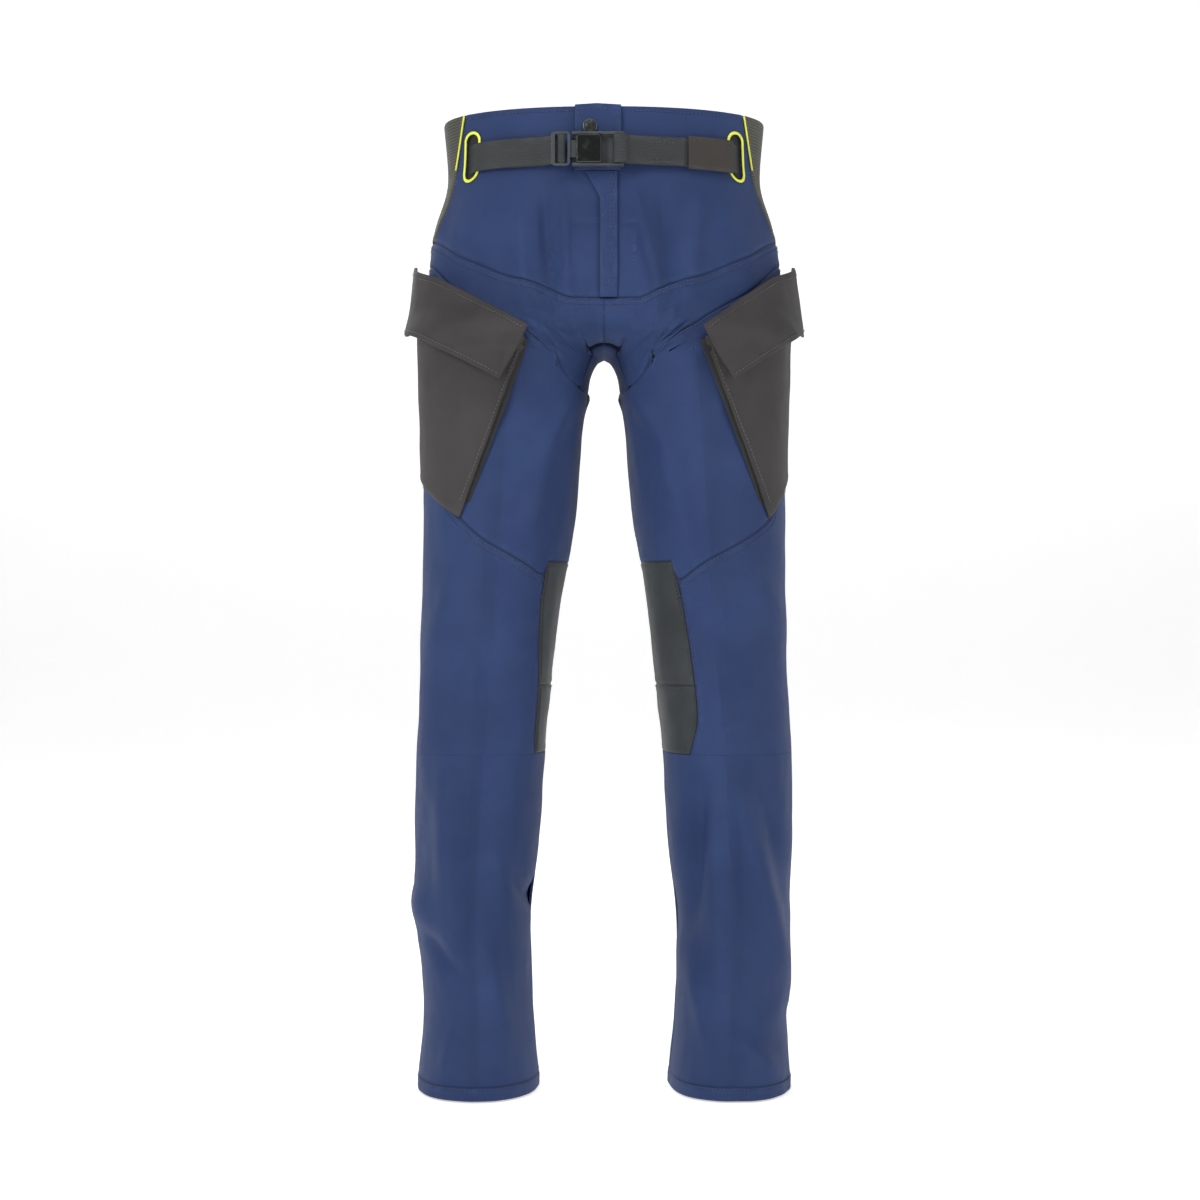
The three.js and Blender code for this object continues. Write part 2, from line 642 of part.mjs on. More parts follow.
// ---- knees and lower legs ----
function addLeg({ name, sign }) {
  const gripEdge = gripEdges[name];
  add(`knee_front_${name}`, panel({
    side: sign, from: gripEdge, to: outseamSweep, top: kneeSeams[name], bottom: kneeTopZ, rows: 3,
  }), 'blue');
  add(`knee_fabric_${name}`, panel({
    side: sign, from: gripEdge, to: gripBack, top: kneeTopZ, bottom: kneeBottomZ, rows: 2,
  }), 'blue');
  add(`grip_upper_${name}`, panel({
    side: sign, from: -gripBackSweep, to: gripEdge, top: gripTopZ, bottom: kneeZ, rows: 2,
  }), 'grip');
  add(`grip_lower_${name}`, panel({
    side: sign, from: -gripBackSweep, to: gripEdge, top: kneeZ, bottom: kneeBottomZ, rows: 1,
  }), 'grip');
  for (const [piece, from, to] of [['front', 0, outseamSweep], ['back', outseamSweep, 1]]) {
    add(`shin_${piece}_${name}`, panel({
      side: sign, from, to, top: kneeBottomZ, bottom: hemZ + hemHeight, rows: 5,
    }), 'blue');
  }
  add(`hem_${name}`, panel({
    side: sign, from: 0, to: 1, top: hemZ + hemHeight, bottom: hemZ, rows: 1, looped: true, gap: 0.3,
  }), 'blue');
}

// ---- cargo pockets ----
const pockets = {
  right: { top: 80, tip: 154 },
  left: { top: 102, tip: 176 },
};
const pocketTopZ = -236;
const pocketTipZ = -437;
const pocketBack = 0.6;
const pocketThickness = 2.4;
const pocketBulge = 6.5;
const pocketSeat = 1.3; // the bag's edges over the thigh
const flapDrop = 56;
const flapOuterZ = -152; // its top edge at the outseam
const flapLean = 40; // how far its ends lean outwards, top to bottom
const flapLift = 12.8; // the flap's inner face over the thigh, at its top edge
const flapFlare = 6; // how far its lower edge stands out past its upper one
const flapThickness = 2.4;
const flapPinOut = 20; // the hinge line, outside the straight line between the ends of the top edge

// The pocket bag's outer face over the thigh: it stands off under the flap and lies down at its far edges.
function bagFace(u, v) {
  const swell = Math.sin(Math.PI * clamp(0.25 + 0.75 * u, 0, 1)) * (1 - v * v);
  return pocketSeat + pocketThickness + pocketBulge * clamp(swell, 0, 1);
}

function addPocket({ name, sign }) {
  const { top, tip } = pockets[name];
  const front = frontEdge([[top, pocketTopZ], [tip, pocketTipZ]]);
  const mouth = polyline([
    [sweepAt(top, pocketTopZ), pocketTopZ - 16], [outseamSweep, -176], [pocketBack, -176],
  ]);
  const foot = polyline([[sweepAt(tip, pocketTipZ), pocketTipZ + 2], [outseamSweep, -388], [pocketBack, -380]]);
  add(`pocket_bag_${name}`, panel({
    side: sign, from: front, to: pocketBack, top: mouth, bottom: foot, rows: 7,
    outer: bagFace, inner: (u, v) => bagFace(u, v) - pocketThickness,
  }), 'grey');
  const strip = 4 * slotPerMm;
  const inset = 1.2 * slotPerMm;
  add(`pocket_gusset_${name}`, panel({
    side: sign, from: (z) => front(z) + inset, to: (z) => front(z) + strip, rows: 5,
    top: (s) => mouth(s) - 3, bottom: -395, gap: 0,
    outer: (u, v) => bagFace(0, v * 0.6) - pocketThickness - 2.2, inner: pocketSeat + 0.4,
  }), 'bellows');
  addFlap(name, sign, top);
}

const hinges = {};

// The flap hangs from the seam above the pocket and stands off the bag, most along its lower edge.
function addFlap(name, sign, frontX) {
  const topFront = sweepAt(frontX, pocketTopZ);
  const top = polyline([[topFront, pocketTopZ], [outseamSweep, flapOuterZ], [pocketBack, flapOuterZ - 4]]);
  const lean = flapLean * slotPerMm;
  const edge = (start) => (z) => start + lean * clamp((top(start) - z) / flapDrop, 0, 1);
  const face = (u, v) => flapLift + flapThickness + flapFlare * v * v;
  add(`pocket_flap_${name}`, panel({
    side: sign, from: edge(topFront), to: edge(outseamSweep), top, bottom: (s) => top(s - lean) - flapDrop,
    rows: 3, outer: face, inner: (u, v) => face(u, v) - flapThickness, gap: 0,
  }), 'grey');
  const start = offSurface(topFront, pocketTopZ, flapLift);
  const end = offSurface(outseamSweep, flapOuterZ, flapLift);
  const run = end.clone().sub(start).normalize();
  const outwards = new THREE.Vector3(run.y, -run.x, 0).normalize();
  const pin = start.clone().add(end).divideScalar(2).addScaledVector(outwards, flapPinOut);
  hinges[`pocket_flap_${name}`] = {
    point: [pin.x * sign, pin.y, pin.z],
    axis: [-run.x, -run.y * sign, -run.z * sign],
  };
}

// ---- waist tab, fly and zip ----
const tabFace = frontY - 0.75; // back of the tab and of the fly, over the front panels
const tabThickness = 2.4;
const tabRoot = 18;
const tabEnd = -31;
const tabBottom = -68;
const flyTop = -70;
const flyBottom = -201;
const flyEdge = -4.5;
const underlapTop = -32; // below the snap's stud
const flyHinge = 14;
const zipFace = frontY + 2.2; // the front of the teeth, inside the shell
const teethThickness = 2.8;
const teethTop = -62;
const teethBottom = -196;
const teethPitch = 4;
const rowGap = 0.6; // each row's distance from the middle of the zip, for the slider's blade
const sliderTravel = 115;

function addTab() {
  const shape = outline([[tabEnd, 1], [-8, 2.5], [tabRoot, 1], [tabRoot, tabBottom], [tabEnd, tabBottom]]);
  shape.holes.push(circle(snapX, snapZ, 4.1));
  add('waist_tab', plate(shape, 'front', tabFace, tabThickness), 'blue');
  const face = -tabFace;
  const capBack = face + tabThickness + 0.3;
  add('snap_cap', turned([[0, capBack], [8.2, capBack], [8.6, capBack + 0.8], [7.4, capBack + 1.7], [0, capBack + 2]], snapX, snapZ), 'metal');
  add('snap_socket', turned([[2.8, face - 0.2], [3.8, face - 0.2], [3.8, capBack - 0.3], [2.8, capBack - 0.3], [2.8, face - 0.2]], snapX, snapZ), 'metal');
  const shellBack = -frontY - fabric - 0.4;
  add('snap_stud', turned([
    [0, shellBack - 1.2], [6, shellBack - 1.2], [6, shellBack], [studRadius, shellBack],
    [studRadius, face + 0.6], [studRadius + 0.4, face + 1.1], [studRadius, face + 1.8], [0, face + 1.8],
  ], snapX, snapZ), 'metal');
}

function teethRow(sign) {
  const inner = zipX + sign * rowGap;
  const root = zipX + sign * 2.8;
  const tip = zipX + sign * (rowGap + 1.2);
  const corners = [[root, teethBottom], [tip, teethBottom]];
  for (let z = teethBottom + 1; z + teethPitch / 2 < teethTop; z += teethPitch) {
    corners.push([tip, z], [inner, z], [inner, z + teethPitch / 2], [tip, z + teethPitch / 2]);
  }
  corners.push([tip, teethTop], [root, teethTop]);
  return plate(outline(sign > 0 ? corners.reverse() : corners), 'front', zipFace + teethThickness, teethThickness);
}

function addFly() {
  const flap = outline([
    [-19, flyTop], [flyHinge, flyTop], [flyHinge, flyBottom], [flyEdge, flyBottom], [flyEdge, flyTop - 27],
  ]);
  add('fly_flap', plate(flap, 'front', tabFace, 2), 'blue');
  for (const { name, sign } of sides) {
    const near = zipX + sign * 3.1;
    const far = zipX + sign * 14;
    add(`zip_tape_${name}`, block(
      Math.min(near, far), zipFace + 1, teethBottom - 5, Math.max(near, far), zipFace + 1.8, teethTop + 6,
    ), 'zip');
    add(`zip_teeth_${name}`, teethRow(sign), 'zip');
  }
  const stopTop = teethBottom - 0.3;
  add('zip_bottom_stop', block(zipX - 2.7, zipFace - 0.3, stopTop - 4, zipX + 2.7, zipFace + 3.1, stopTop), 'metal');
  const sliderTop = teethTop + 6;
  const sliderBottom = sliderTop - 12;
  const frontPlate = block(zipX - 5, zipFace - 1.4, sliderBottom, zipX + 5, zipFace - 0.3, sliderTop);
  const backPlate = block(zipX - 5, zipFace + 3.1, sliderBottom, zipX + 5, zipFace + 4.2, sliderTop);
  const blade = block(zipX - 0.3, zipFace - 1, sliderTop - 6, zipX + 0.3, zipFace + 4, sliderTop);
  add('zip_slider', join(frontPlate, backPlate, blade), 'metal');
  const pullerShape = roundedRectangle(zipX - 2.5, sliderTop - 27, zipX + 2.5, sliderTop - 1, 2);
  pullerShape.holes.push(roundedRectangle(zipX - 1.2, sliderTop - 24.5, zipX + 1.2, sliderTop - 17, 1));
  add('zip_puller', plate(pullerShape, 'front', zipFace - 1.7, 0.7), 'metal');
  const shellBack = frontY + fabric + 0.4;
  const underlap = outline([
    [-21, shellBack], [-12, shellBack], [-12, zipFace + 4.8], [17, zipFace + 4.8], [17, zipFace + 6.4], [-21, zipFace + 6.4],
  ]);
  add('fly_underlap', plate(underlap, 'plan', flyBottom + 2, underlapTop - (flyBottom + 2)), 'blue');
  hinges.waist_tab = { point: [tabRoot, tabFace, 0], axis: [0, 0, 1] };
  hinges.fly_flap = { point: [flyHinge, tabFace, 0], axis: [0, 0, 1] };
  hinges.zip_puller = { point: [zipX, zipFace - 2, sliderTop - 2], axis: [1, 0, 0] };
}

// ---- belt and buckle ----
const webbingWidth = 30;
const webbing = 1.6;
const beltZ = -48;
const buckleBack = -104.5; // the plane of the buckle's back
const buckleX = -17.5; // its middle
const buckleHalfHeight = 18;
const lockLeft = buckleX - 38.5;
const endBar = 6;
const housingRight = buckleX + 38.5;
const housingLeft = buckleX - 16.5;

// A plan view ribbon along a list of [x, y], as a closed outline of one webbing thickness.
function ribbon(path, thickness) {
  const points = path.map(([x, y]) => new THREE.Vector2(x, y));
  const offset = points.map((p, i) => {
    const before = p.clone().sub(points[Math.max(i - 1, 0)]);
    const after = points[Math.min(i + 1, points.length - 1)].clone().sub(p);
    if (i === 0) before.copy(after);
    if (i === points.length - 1) after.copy(before);
    const [a, b] = [before, after].map((d) => new THREE.Vector2(d.y, -d.x).normalize());
    const mean = a.clone().add(b).normalize();
    return p.clone().addScaledVector(mean, thickness / mean.dot(a));
  });
  return new THREE.Shape([...points, ...offset.reverse()]);
}

// The belt's run round the body: its inner face at a sweep, off the surface at the belt's height.
function beltPoint(sweep, out) {
  const p = offSurface(sweep, beltZ, out);
  return [p.x, p.y];
}

const outsideLift = 2.2; // the strap over the ring of the slot
const insideLift = -8; // the strap inside the shell, which leans away from it
const slotHalf = 7.4 * slotPerMm;
const mirrored = ([x, y]) => [-x, y];

// The outside run from the slot towards the buckle: [x, y] of the strap's inner face.
function outsideRun(fromX, toX, lift) {
  const points = [];
  const steps = 7;
  for (let i = 0; i <= steps; i += 1) {
    const x = lerp(fromX, toX, i / steps);
    points.push(beltPoint(sweepAt(x, beltZ), lift(x)));
  }
  return points;
}

function addBelt() {
  const entry = slotSweep - slotHalf;
  const exit = slotSweep + slotHalf;
  const right = outsideRun(44, 126, () => outsideLift + 1.2);
  const inside = [];
  const turns = 22;
  for (let i = 0; i <= turns; i += 1) {
    inside.push(beltPoint(lerp(exit + 0.012, 2 - exit - 0.012, i / turns), insideLift));
  }
  const barBack = buckleBack - 1.8;
  const path = [
    [housingRight - endBar - 2.4, barBack], [housingRight + 6, barBack + 0.6], ...right,
    beltPoint(entry, outsideLift + 0.7), beltPoint(exit, insideLift + 2.6), ...inside,
    mirrored(beltPoint(exit, insideLift + 2.6)), mirrored(beltPoint(slotSweep + slotHalf * 0.2, insideLift + 5.4)),
  ];
  add('belt_strap', plate(ribbon(path, webbing), 'plan', beltZ - webbingWidth / 2, webbingWidth), 'webbing');
  const patchPath = [...outsideRun(88, 126, () => outsideLift + 1.2 + webbing + 0.3), beltPoint(entry, outsideLift + webbing + 0.7)];
  add('belt_patch', plate(ribbon(patchPath, 1.3), 'plan', beltZ - 17.5, 35), 'patch');
  addBeltEnd(entry);
  addBuckle();
}

// The wearer's right end of the belt: it leaves the slot, goes round the lock's bar and comes back as a tail.
function addBeltEnd(entry) {
  const lift = (x) => outsideLift + (x < 110 ? 2.6 : 1.2);
  const out = outsideRun(126, 66, lift).map(mirrored);
  const behind = buckleBack - 0.4;
  const front = buckleBack - 7.3;
  const tail = buckleBack + 0.1;
  const path = [
    mirrored(beltPoint(entry + slotHalf * 0.6, outsideLift - 1.2)), mirrored(beltPoint(entry, outsideLift + 0.4)), ...out,
    [lockLeft + 1, behind], [lockLeft + 8.4, behind], [lockLeft + 8.4, front],
    [lockLeft + 13.1, front], [lockLeft + 13.1, tail], [lockLeft + 1, tail],
    ...outsideRun(66, 98, () => outsideLift + 0.4).map(mirrored),
  ];
  add('belt_end', plate(ribbon(path, webbing), 'plan', beltZ - webbingWidth / 2, webbingWidth), 'webbing');
}

function addBuckle() {
  const low = beltZ - buckleHalfHeight;
  const high = beltZ + buckleHalfHeight;
  const lock = roundedRectangle(lockLeft, low, lockLeft + 20, high, 4);
  const [slotA, slotB] = [[4, 9], [12.5, 17.4]].map(([left, right]) => block(
    lockLeft + left, buckleBack - 10, low + 2.5, lockLeft + right, buckleBack, high - 2.5,
  ));
  const lockBody = cut(plate(lock, 'front', buckleBack - 3.4, 3.4), slotA, slotB);
  const tongue = plate(roundedRectangle(lockLeft + 18, beltZ - 9, lockLeft + 42, beltZ + 9, 3), 'front', buckleBack - 2, 3);
  add('ladder_lock', join(lockBody, tongue), 'buckle');
  const railThickness = 2.8;
  const depth = 7.4;
  const rails = [low, high - railThickness].map((z) => block(
    housingLeft, buckleBack - depth, z, housingRight, buckleBack, z + railThickness,
  ));
  const bar = block(housingRight - endBar, buckleBack - depth, low, housingRight, buckleBack - 3.7, high);
  const tray = block(housingLeft, buckleBack - 1.3, low + 1, housingRight - endBar - 5, buckleBack, high - 1);
  add('buckle_housing', join(rails[0], rails[1], bar, tray), 'buckle');
  const cover = roundedRectangle(
    housingLeft + 4.5, low + railThickness + 0.4, housingLeft + 31, high - railThickness - 0.4, 2.5,
  );
  add('release_cover', plate(cover, 'front', buckleBack - 5.6, 3.4, 0.8), 'cover');
}

for (const side of sides) {
  addUpperShell(side);
  addLeg(side);
  addPocket(side);
}
addBand();
addGusset();
addTab();
addFly();
addBelt();

trousers.userData = { hinges, kneeZ, sliderTravel };

export default trousers;
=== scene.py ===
# Riding trousers, dressed over their CAD frame. The outer cloth, belt and trims are made here, and the
# fly's underlap, the zip and the snap's lower half stay the CAD's own pieces with new materials. Lengths are
# millimetres until a mesh is made, which is in metres in the frame's own axes: +Z up, the front faces -Y, the
# wearer's left is +X, and the origin is the centre of the waist opening.
import math

import bpy
import numpy as np
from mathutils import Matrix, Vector, noise


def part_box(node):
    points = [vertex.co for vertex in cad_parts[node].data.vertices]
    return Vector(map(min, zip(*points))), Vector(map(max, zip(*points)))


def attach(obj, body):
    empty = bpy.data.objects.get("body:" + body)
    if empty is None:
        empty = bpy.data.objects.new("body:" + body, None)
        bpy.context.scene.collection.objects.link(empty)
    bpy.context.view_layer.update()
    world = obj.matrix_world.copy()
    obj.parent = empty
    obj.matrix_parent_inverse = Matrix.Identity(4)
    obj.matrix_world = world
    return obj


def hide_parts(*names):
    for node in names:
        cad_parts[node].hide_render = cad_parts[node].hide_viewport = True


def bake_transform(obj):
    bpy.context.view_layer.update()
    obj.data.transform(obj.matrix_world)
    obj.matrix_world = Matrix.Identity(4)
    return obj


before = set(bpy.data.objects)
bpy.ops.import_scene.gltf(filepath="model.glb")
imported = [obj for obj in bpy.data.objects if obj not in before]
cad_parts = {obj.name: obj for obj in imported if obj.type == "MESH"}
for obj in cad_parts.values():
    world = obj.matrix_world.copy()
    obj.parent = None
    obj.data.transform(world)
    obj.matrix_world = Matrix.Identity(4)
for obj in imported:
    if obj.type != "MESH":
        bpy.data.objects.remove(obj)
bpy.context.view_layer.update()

MM = 0.001


def box_mm(node):
    """A CAD node's lowest and highest corners, in mm."""
    low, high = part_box(node)
    return Vector(low) / MM, Vector(high) / MM


# ---- sizes ----
OUTSEAM = -box_mm("hem_left")[0].z
RISE = 257.0
INSEAM = OUTSEAM - RISE
WAIST_WIDTH = 354.0
WAIST_DEPTH = 196.0
KNEE_WIDTH = 148.0
HEM_WIDTH = 136.0
ROUND = 2.2
CROTCH_RADIUS = 10.0
CROTCH_REACH = 30.0
CROTCH = -RISE
HEM = -OUTSEAM
FRONT_Y = -WAIST_DEPTH / 2
SEAT_Z = -0.8 * RISE
PARTING = -0.68 * RISE
KNEE = CROTCH - 0.447 * INSEAM
KNEE_BOTTOM = KNEE - 75
GRIP_TOP = -482.0
SHELL = 1.8  # cloth thickness
OUTSIDE = 0.5  # sweep at the outseam
SIDES = {"left": 1, "right": -1}


def body_level(share):
    return -RISE * share


def leg_level(share):
    return CROTCH - INSEAM * share


# Each half of the garment is an oval at every height: height, centre, half width, half depth, how far back.
SECTIONS = np.array([
    (body_level(0), 0, WAIST_WIDTH / 2, WAIST_DEPTH / 2, 0),
    (body_level(0.23), 6.5, WAIST_WIDTH / 2 - 10.5, 104, 6),
    (body_level(0.47), 32.5, 157.5, 114, 14),
    (body_level(0.66), 50.5, 145.5, 117, 13),
    (body_level(0.8), 64, 134, 116, 7),
    (body_level(0.875), 78, 120.5, 114, 5),
    (body_level(0.953), 93.5, 105.5, 110, 4),
    (body_level(1), 99.5, 99.5, 107, 3),
    (leg_level(0.029), 104.5, 94.5, 105, 3),
    (leg_level(0.056), 106, 93, 102, 4),
    (leg_level(0.111), 109.4, 89.6, 98, 5),
    (leg_level(0.222), 115.2, 85.4, 90, 4),
    (leg_level(0.3325), 123.1, KNEE_WIDTH / 2 + 3.5, 83, 1),
    (leg_level(0.442), 129.8, KNEE_WIDTH / 2, 79, 0),
    (leg_level(0.553), 136.7, 71.8, 78, 5),
    (leg_level(0.664), 140, 69.5, 79, 9),
    (leg_level(0.773), 143.5, 62.5, 79, 9),
    (leg_level(0.884), 139.6, HEM_WIDTH / 2 - 7.6, 80, 7),
    (leg_level(1), 139, HEM_WIDTH / 2, 86, 5),
])


# ---- the garment's surface ----
def smooth_curve(places, values):
    """A smooth curve through values at rising places, kept flat where the values turn."""
    places, values = np.asarray(places, float), np.asarray(values, float)
    rates = np.diff(values) / np.diff(places)
    slopes = [rates[0]]
    for before, after in zip(rates, rates[1:]):
        slopes.append(0.0 if before * after <= 0 else 2 * before * after / (before + after))
    slopes = np.array(slopes + [rates[-1]])

    def at(place):
        p = np.clip(place, places[0], places[-1])
        i = np.clip(np.searchsorted(places, p) - 1, 0, len(places) - 2)
        span = places[i + 1] - places[i]
        t = (p - places[i]) / span
        bend = t * t * (3 - 2 * t)
        ease = t * (1 - t) * span
        mean = values[i] * (1 - bend) + values[i + 1] * bend
        return mean + ease * ((1 - t) * slopes[i] - t * slopes[i + 1])

    return at


CENTRE, HALF, DEEP, BACK = (smooth_curve(SECTIONS[::-1, 0], SECTIONS[::-1, k]) for k in range(1, 5))


def smoothstep(value, low, high):
    t = np.clip((value - low) / (high - low), 0, 1)
    return t * t * (3 - 2 * t)


def oval(z):
    centre, half, deep = CENTRE(z), HALF(z), DEEP(z)
    meet = np.minimum(centre / half, 1)
    parted = 1 - smoothstep(z, CROTCH, PARTING)
    middle = deep * (1 - parted * (1 - (1 - meet ** ROUND) ** (1 / ROUND)))
    above = z >= CROTCH
    eased = np.where(above, smoothstep(z, CROTCH, SEAT_Z), 0)
    back = BACK(z) * (1 - eased) + (FRONT_Y + middle) * eased
    start = np.where(above, np.arccos(meet ** (ROUND / 2)), 0)
    return centre, half, deep, parted, back, start


def softened(x):
    return np.sqrt(x * x + 2 * CROTCH_RADIUS * x * np.exp(-x / CROTCH_REACH))


def hardened(x):
    low, high = np.zeros_like(x), np.array(x, float)
    for _ in range(40):
        middle = (low + high) / 2
        short = softened(middle) < x
        low, high = np.where(short, middle, low), np.where(short, high, middle)
    return low


def on_surface(sweep, z):
    """Points round the left half. Sweep 0 is the centre front or the inseam, 0.5 the outseam, and 1 the centre
    back or the inseam."""
    sweep, z = np.broadcast_arrays(np.asarray(sweep, float), np.asarray(z, float))
    centre, half, deep, parted, back, start = oval(z)
    above = z >= CROTCH
    over = above & ((sweep < 0) | (sweep > 1))
    turn = np.where(over, np.where(sweep < 0, -sweep, 2 - sweep), sweep)
    angle = start + turn * 2 * (np.pi - start)
    power = 2 / ROUND
    cosine = np.cos(angle)
    x = centre - half * np.sign(cosine) * np.abs(cosine) ** power
    reach = np.abs(np.sin(angle)) ** power
    hollow = np.where(x < centre, parted * (1 - reach), 1 - reach)
    y = back - deep * np.sign(np.sin(angle)) * (1 - hollow)
    return np.stack([np.where(over, -1, 1) * softened(np.maximum(x, 0)), y, z], -1)


STEP = 0.004


def across(sweep, z):
    return (on_surface(sweep + STEP, z) - on_surface(sweep - STEP, z)) / (2 * STEP)


def per_sweep(sweep, z):
    """The length of cloth, in mm, that one whole sweep would be at this place."""
    return np.linalg.norm(across(np.clip(sweep, 0.05, 0.95), z), axis=-1)


def outwards(sweep, z):
    along = across(sweep, z)
    normal = np.stack([along[..., 1], -along[..., 0], np.zeros_like(along[..., 0])], -1)
    return normal / np.linalg.norm(normal, axis=-1, keepdims=True)


def off_surface(sweep, z, out):
    """Places out mm outside the smooth surface."""
    return on_surface(sweep, z) + outwards(sweep, z) * np.asarray(out)[..., None]


def sweep_at(x, z):
    """The sweep at which the front of the left half lies x out from the middle."""
    x, z = np.broadcast_arrays(np.asarray(x, float), np.asarray(z, float))
    centre, half, _, _, _, start = oval(z)
    share = np.clip((centre - hardened(np.maximum(x, 0))) / half, -1, 1)
    angle = np.arccos(np.sign(share) * np.abs(share) ** (ROUND / 2))
    return np.clip((angle - start) / (2 * (np.pi - start)), 0, 0.5)


# ---- folds ----
# Each fold runs between two places [x, z] on the front, with a height (below 0 is a hollow) and a half width.
FOLDS = {
    "left": [
        (30, -84, 62, -205, 2.6, 8), (104, -84, 88, -205, 2.6, 11), (60, -84, 74, -210, -3.2, 8),
        (139, -715, 197, -960, 7.0, 15), (102, -726, 92, -884, -6.0, 11), (166, -700, 202, -850, -3.0, 12),
        (134, -985, 190, -1036, 3.6, 9), (118, -760, 128, -960, 3.0, 12), (110, -560, 150, -640, 2.4, 16),
        (30, -300, 78, -372, 3.0, 9), (62, -360, 96, -470, 2.6, 12), (150, -480, 196, -560, 2.4, 14),
        (92, -900, 112, -1010, 3.2, 10), (40, -210, 120, -236, -1.8, 9),
    ],
    "right": [
        (66, -82, 58, -212, -3.4, 8), (44, -86, 38, -208, 2.4, 7), (90, -86, 84, -204, 2.8, 9),
        (169, -694, 163, -906, 6.0, 15), (110, -800, 70, -864, -5.5, 9), (122, -788, 80, -846, 3.0, 8),
        (198, -836, 192, -890, 5.0, 15), (196, -880, 150, -935, -3.4, 10), (130, -880, 106, -1010, 3.6, 12),
        (30, -300, 70, -372, 3.0, 9), (90, -540, 140, -660, 2.6, 17), (56, -350, 84, -460, 2.4, 12),
        (150, -470, 186, -590, 2.6, 14), (150, -960, 176, -1040, 2.6, 10),
    ],
}
# The same on the back, which both legs share.
BACK_FOLDS = [
    (20, -300, 120, -262, 4.5, 10), (60, -340, 150, -318, 3.5, 10), (70, -575, 190, -600, 4.5, 9),
    (80, -606, 196, -622, -4.0, 8), (74, -640, 190, -636, 4.8, 9), (84, -668, 184, -690, -3.2, 10),
    (100, -860, 176, -930, 4.0, 12), (96, -980, 180, -1020, 3.6, 10), (30, -120, 70, -240, 3.4, 16),
    (120, -160, 150, -260, 3.0, 16), (110, -380, 140, -520, 3.0, 18),
]
FOLD_DEPTH = 2.3
FLAT_TOP, SOFT_TOP = -66.0, -110.0  # no folds above the first, full ones below the second


def ridges(folds, x, z):
    total = np.zeros_like(x)
    for x0, z0, x1, z1, height, width in folds:
        run = np.array([x1 - x0, z1 - z0])
        t = np.clip(((x - x0) * run[0] + (z - z0) * run[1]) / (run @ run), 0, 1)
        apart = np.hypot(x - x0 - t * run[0], z - z0 - t * run[1])
        total += height * (0.3 + 2.8 * t * (1 - t)) * np.exp(-((apart / width) ** 2))
    return FOLD_DEPTH * total


def crumple(points):
    """The slow unevenness of hanging cloth."""
    values = [
        2.4 * noise.noise(Vector((x / 46, y / 46, z / 130)))
        + 0.8 * noise.noise(Vector((x / 17, y / 17 + 9, z / 34)))
        for x, y, z in points.reshape(-1, 3)
    ]
    return np.array(values).reshape(points.shape[:-1])


def folds(side, sweep, points):
    """How far the folds lift each point of the surface, in mm. points are on the left half."""
    x, z = np.abs(points[..., 0]), points[..., 2]
    turn = np.where(sweep < 0, sweep + 1, sweep)
    front = smoothstep(turn, 0.62, 0.46) * smoothstep(sweep, -0.06, 0.03)
    behind = (1 - front) * smoothstep(turn, 0.5, 0.62)
    lift = front * ridges(FOLDS[side], x, z) + behind * ridges(BACK_FOLDS, x, z)
    placed = points * np.array([SIDES[side], 1, 1])
    middle = 0.25 + 0.75 * smoothstep(x, 16, 44)  # the fly lies flat
    top = smoothstep(z, FLAT_TOP, SOFT_TOP)
    return top * np.where(z > CROTCH, middle, 1) * (lift + crumple(placed))


def cloth_points(side, sweep, z, out):
    """Places on the garment, out mm outside its folded surface, in metres."""
    base = on_surface(sweep, z)
    lift = folds(side, sweep, base)
    placed = base + outwards(sweep, z) * (np.asarray(out) + lift)[..., None]
    if side == "right":
        placed[..., 0] *= -1
    return placed * MM


# ---- seam lines ----
def seam(corners):
    """A smooth seam line through corners [sweep, height], rising in sweep."""
    s, z = zip(*corners)
    return smooth_curve(s, z)


def front_seam(corners, *more):
    return seam([(float(sweep_at(x, z)), z) for x, z in corners] + list(more))


def front_edge(corners):
    """An edge down the front through corners [x, z], as sweep at a height."""
    x, z = zip(*corners[::-1])
    line = smooth_curve(z, x)
    return lambda height: sweep_at(line(height), height)


def level(value):
    return lambda place: np.full_like(np.asarray(place, float), value)


SIDE_BACK = 0.66
GRIP_BACK = 0.14
GUSSET_REACH = 45.0
GUSSET_DROP = 40.0
THIGH_BACK_Z, THIGH_INNER_Z = -292.0, -300.0


def depth_share(z, y):
    _, _, deep, parted, back, _ = oval(z)
    return np.clip(1 - (1 - np.abs((y - back) / deep)) / parted, 0, 1)


def inner_thigh(y, z):
    centre, half = CENTRE(z), HALF(z)
    return centre - half * (1 - depth_share(z, y) ** ROUND) ** (1 / ROUND)


def sweep_at_depth(y, z):
    start = oval(z)[5]
    angle = np.arcsin(depth_share(z, y) ** (ROUND / 2))
    return np.maximum((angle - start) / (2 * (np.pi - start)), 0)


def saddle_z(y):
    """The height at which the two halves meet in the middle, at a depth y."""
    low, high = CROTCH, CROTCH + 60
    for _ in range(40):
        middle = (low + high) / 2
        low, high = (middle, high) if inner_thigh(y, middle) > 0 else (low, middle)
    return low


def gusset_edge_z(sweep, y):
    low, high = THIGH_INNER_Z, saddle_z(y)
    for _ in range(30):
        middle = (low + high) / 2
        low, high = (middle, high) if sweep_at_depth(y, middle) > sweep else (low, middle)
    return low


def gusset_edge(y, reach):
    """The gusset's edge in front (y below 0) or behind, as corners from the middle outwards."""
    lap = 4 if y < 0 else 1
    return [(t * reach, float(gusset_edge_z(t * reach, y)) + lap) for t in (0, 0.25, 0.5, 0.75, 1)]


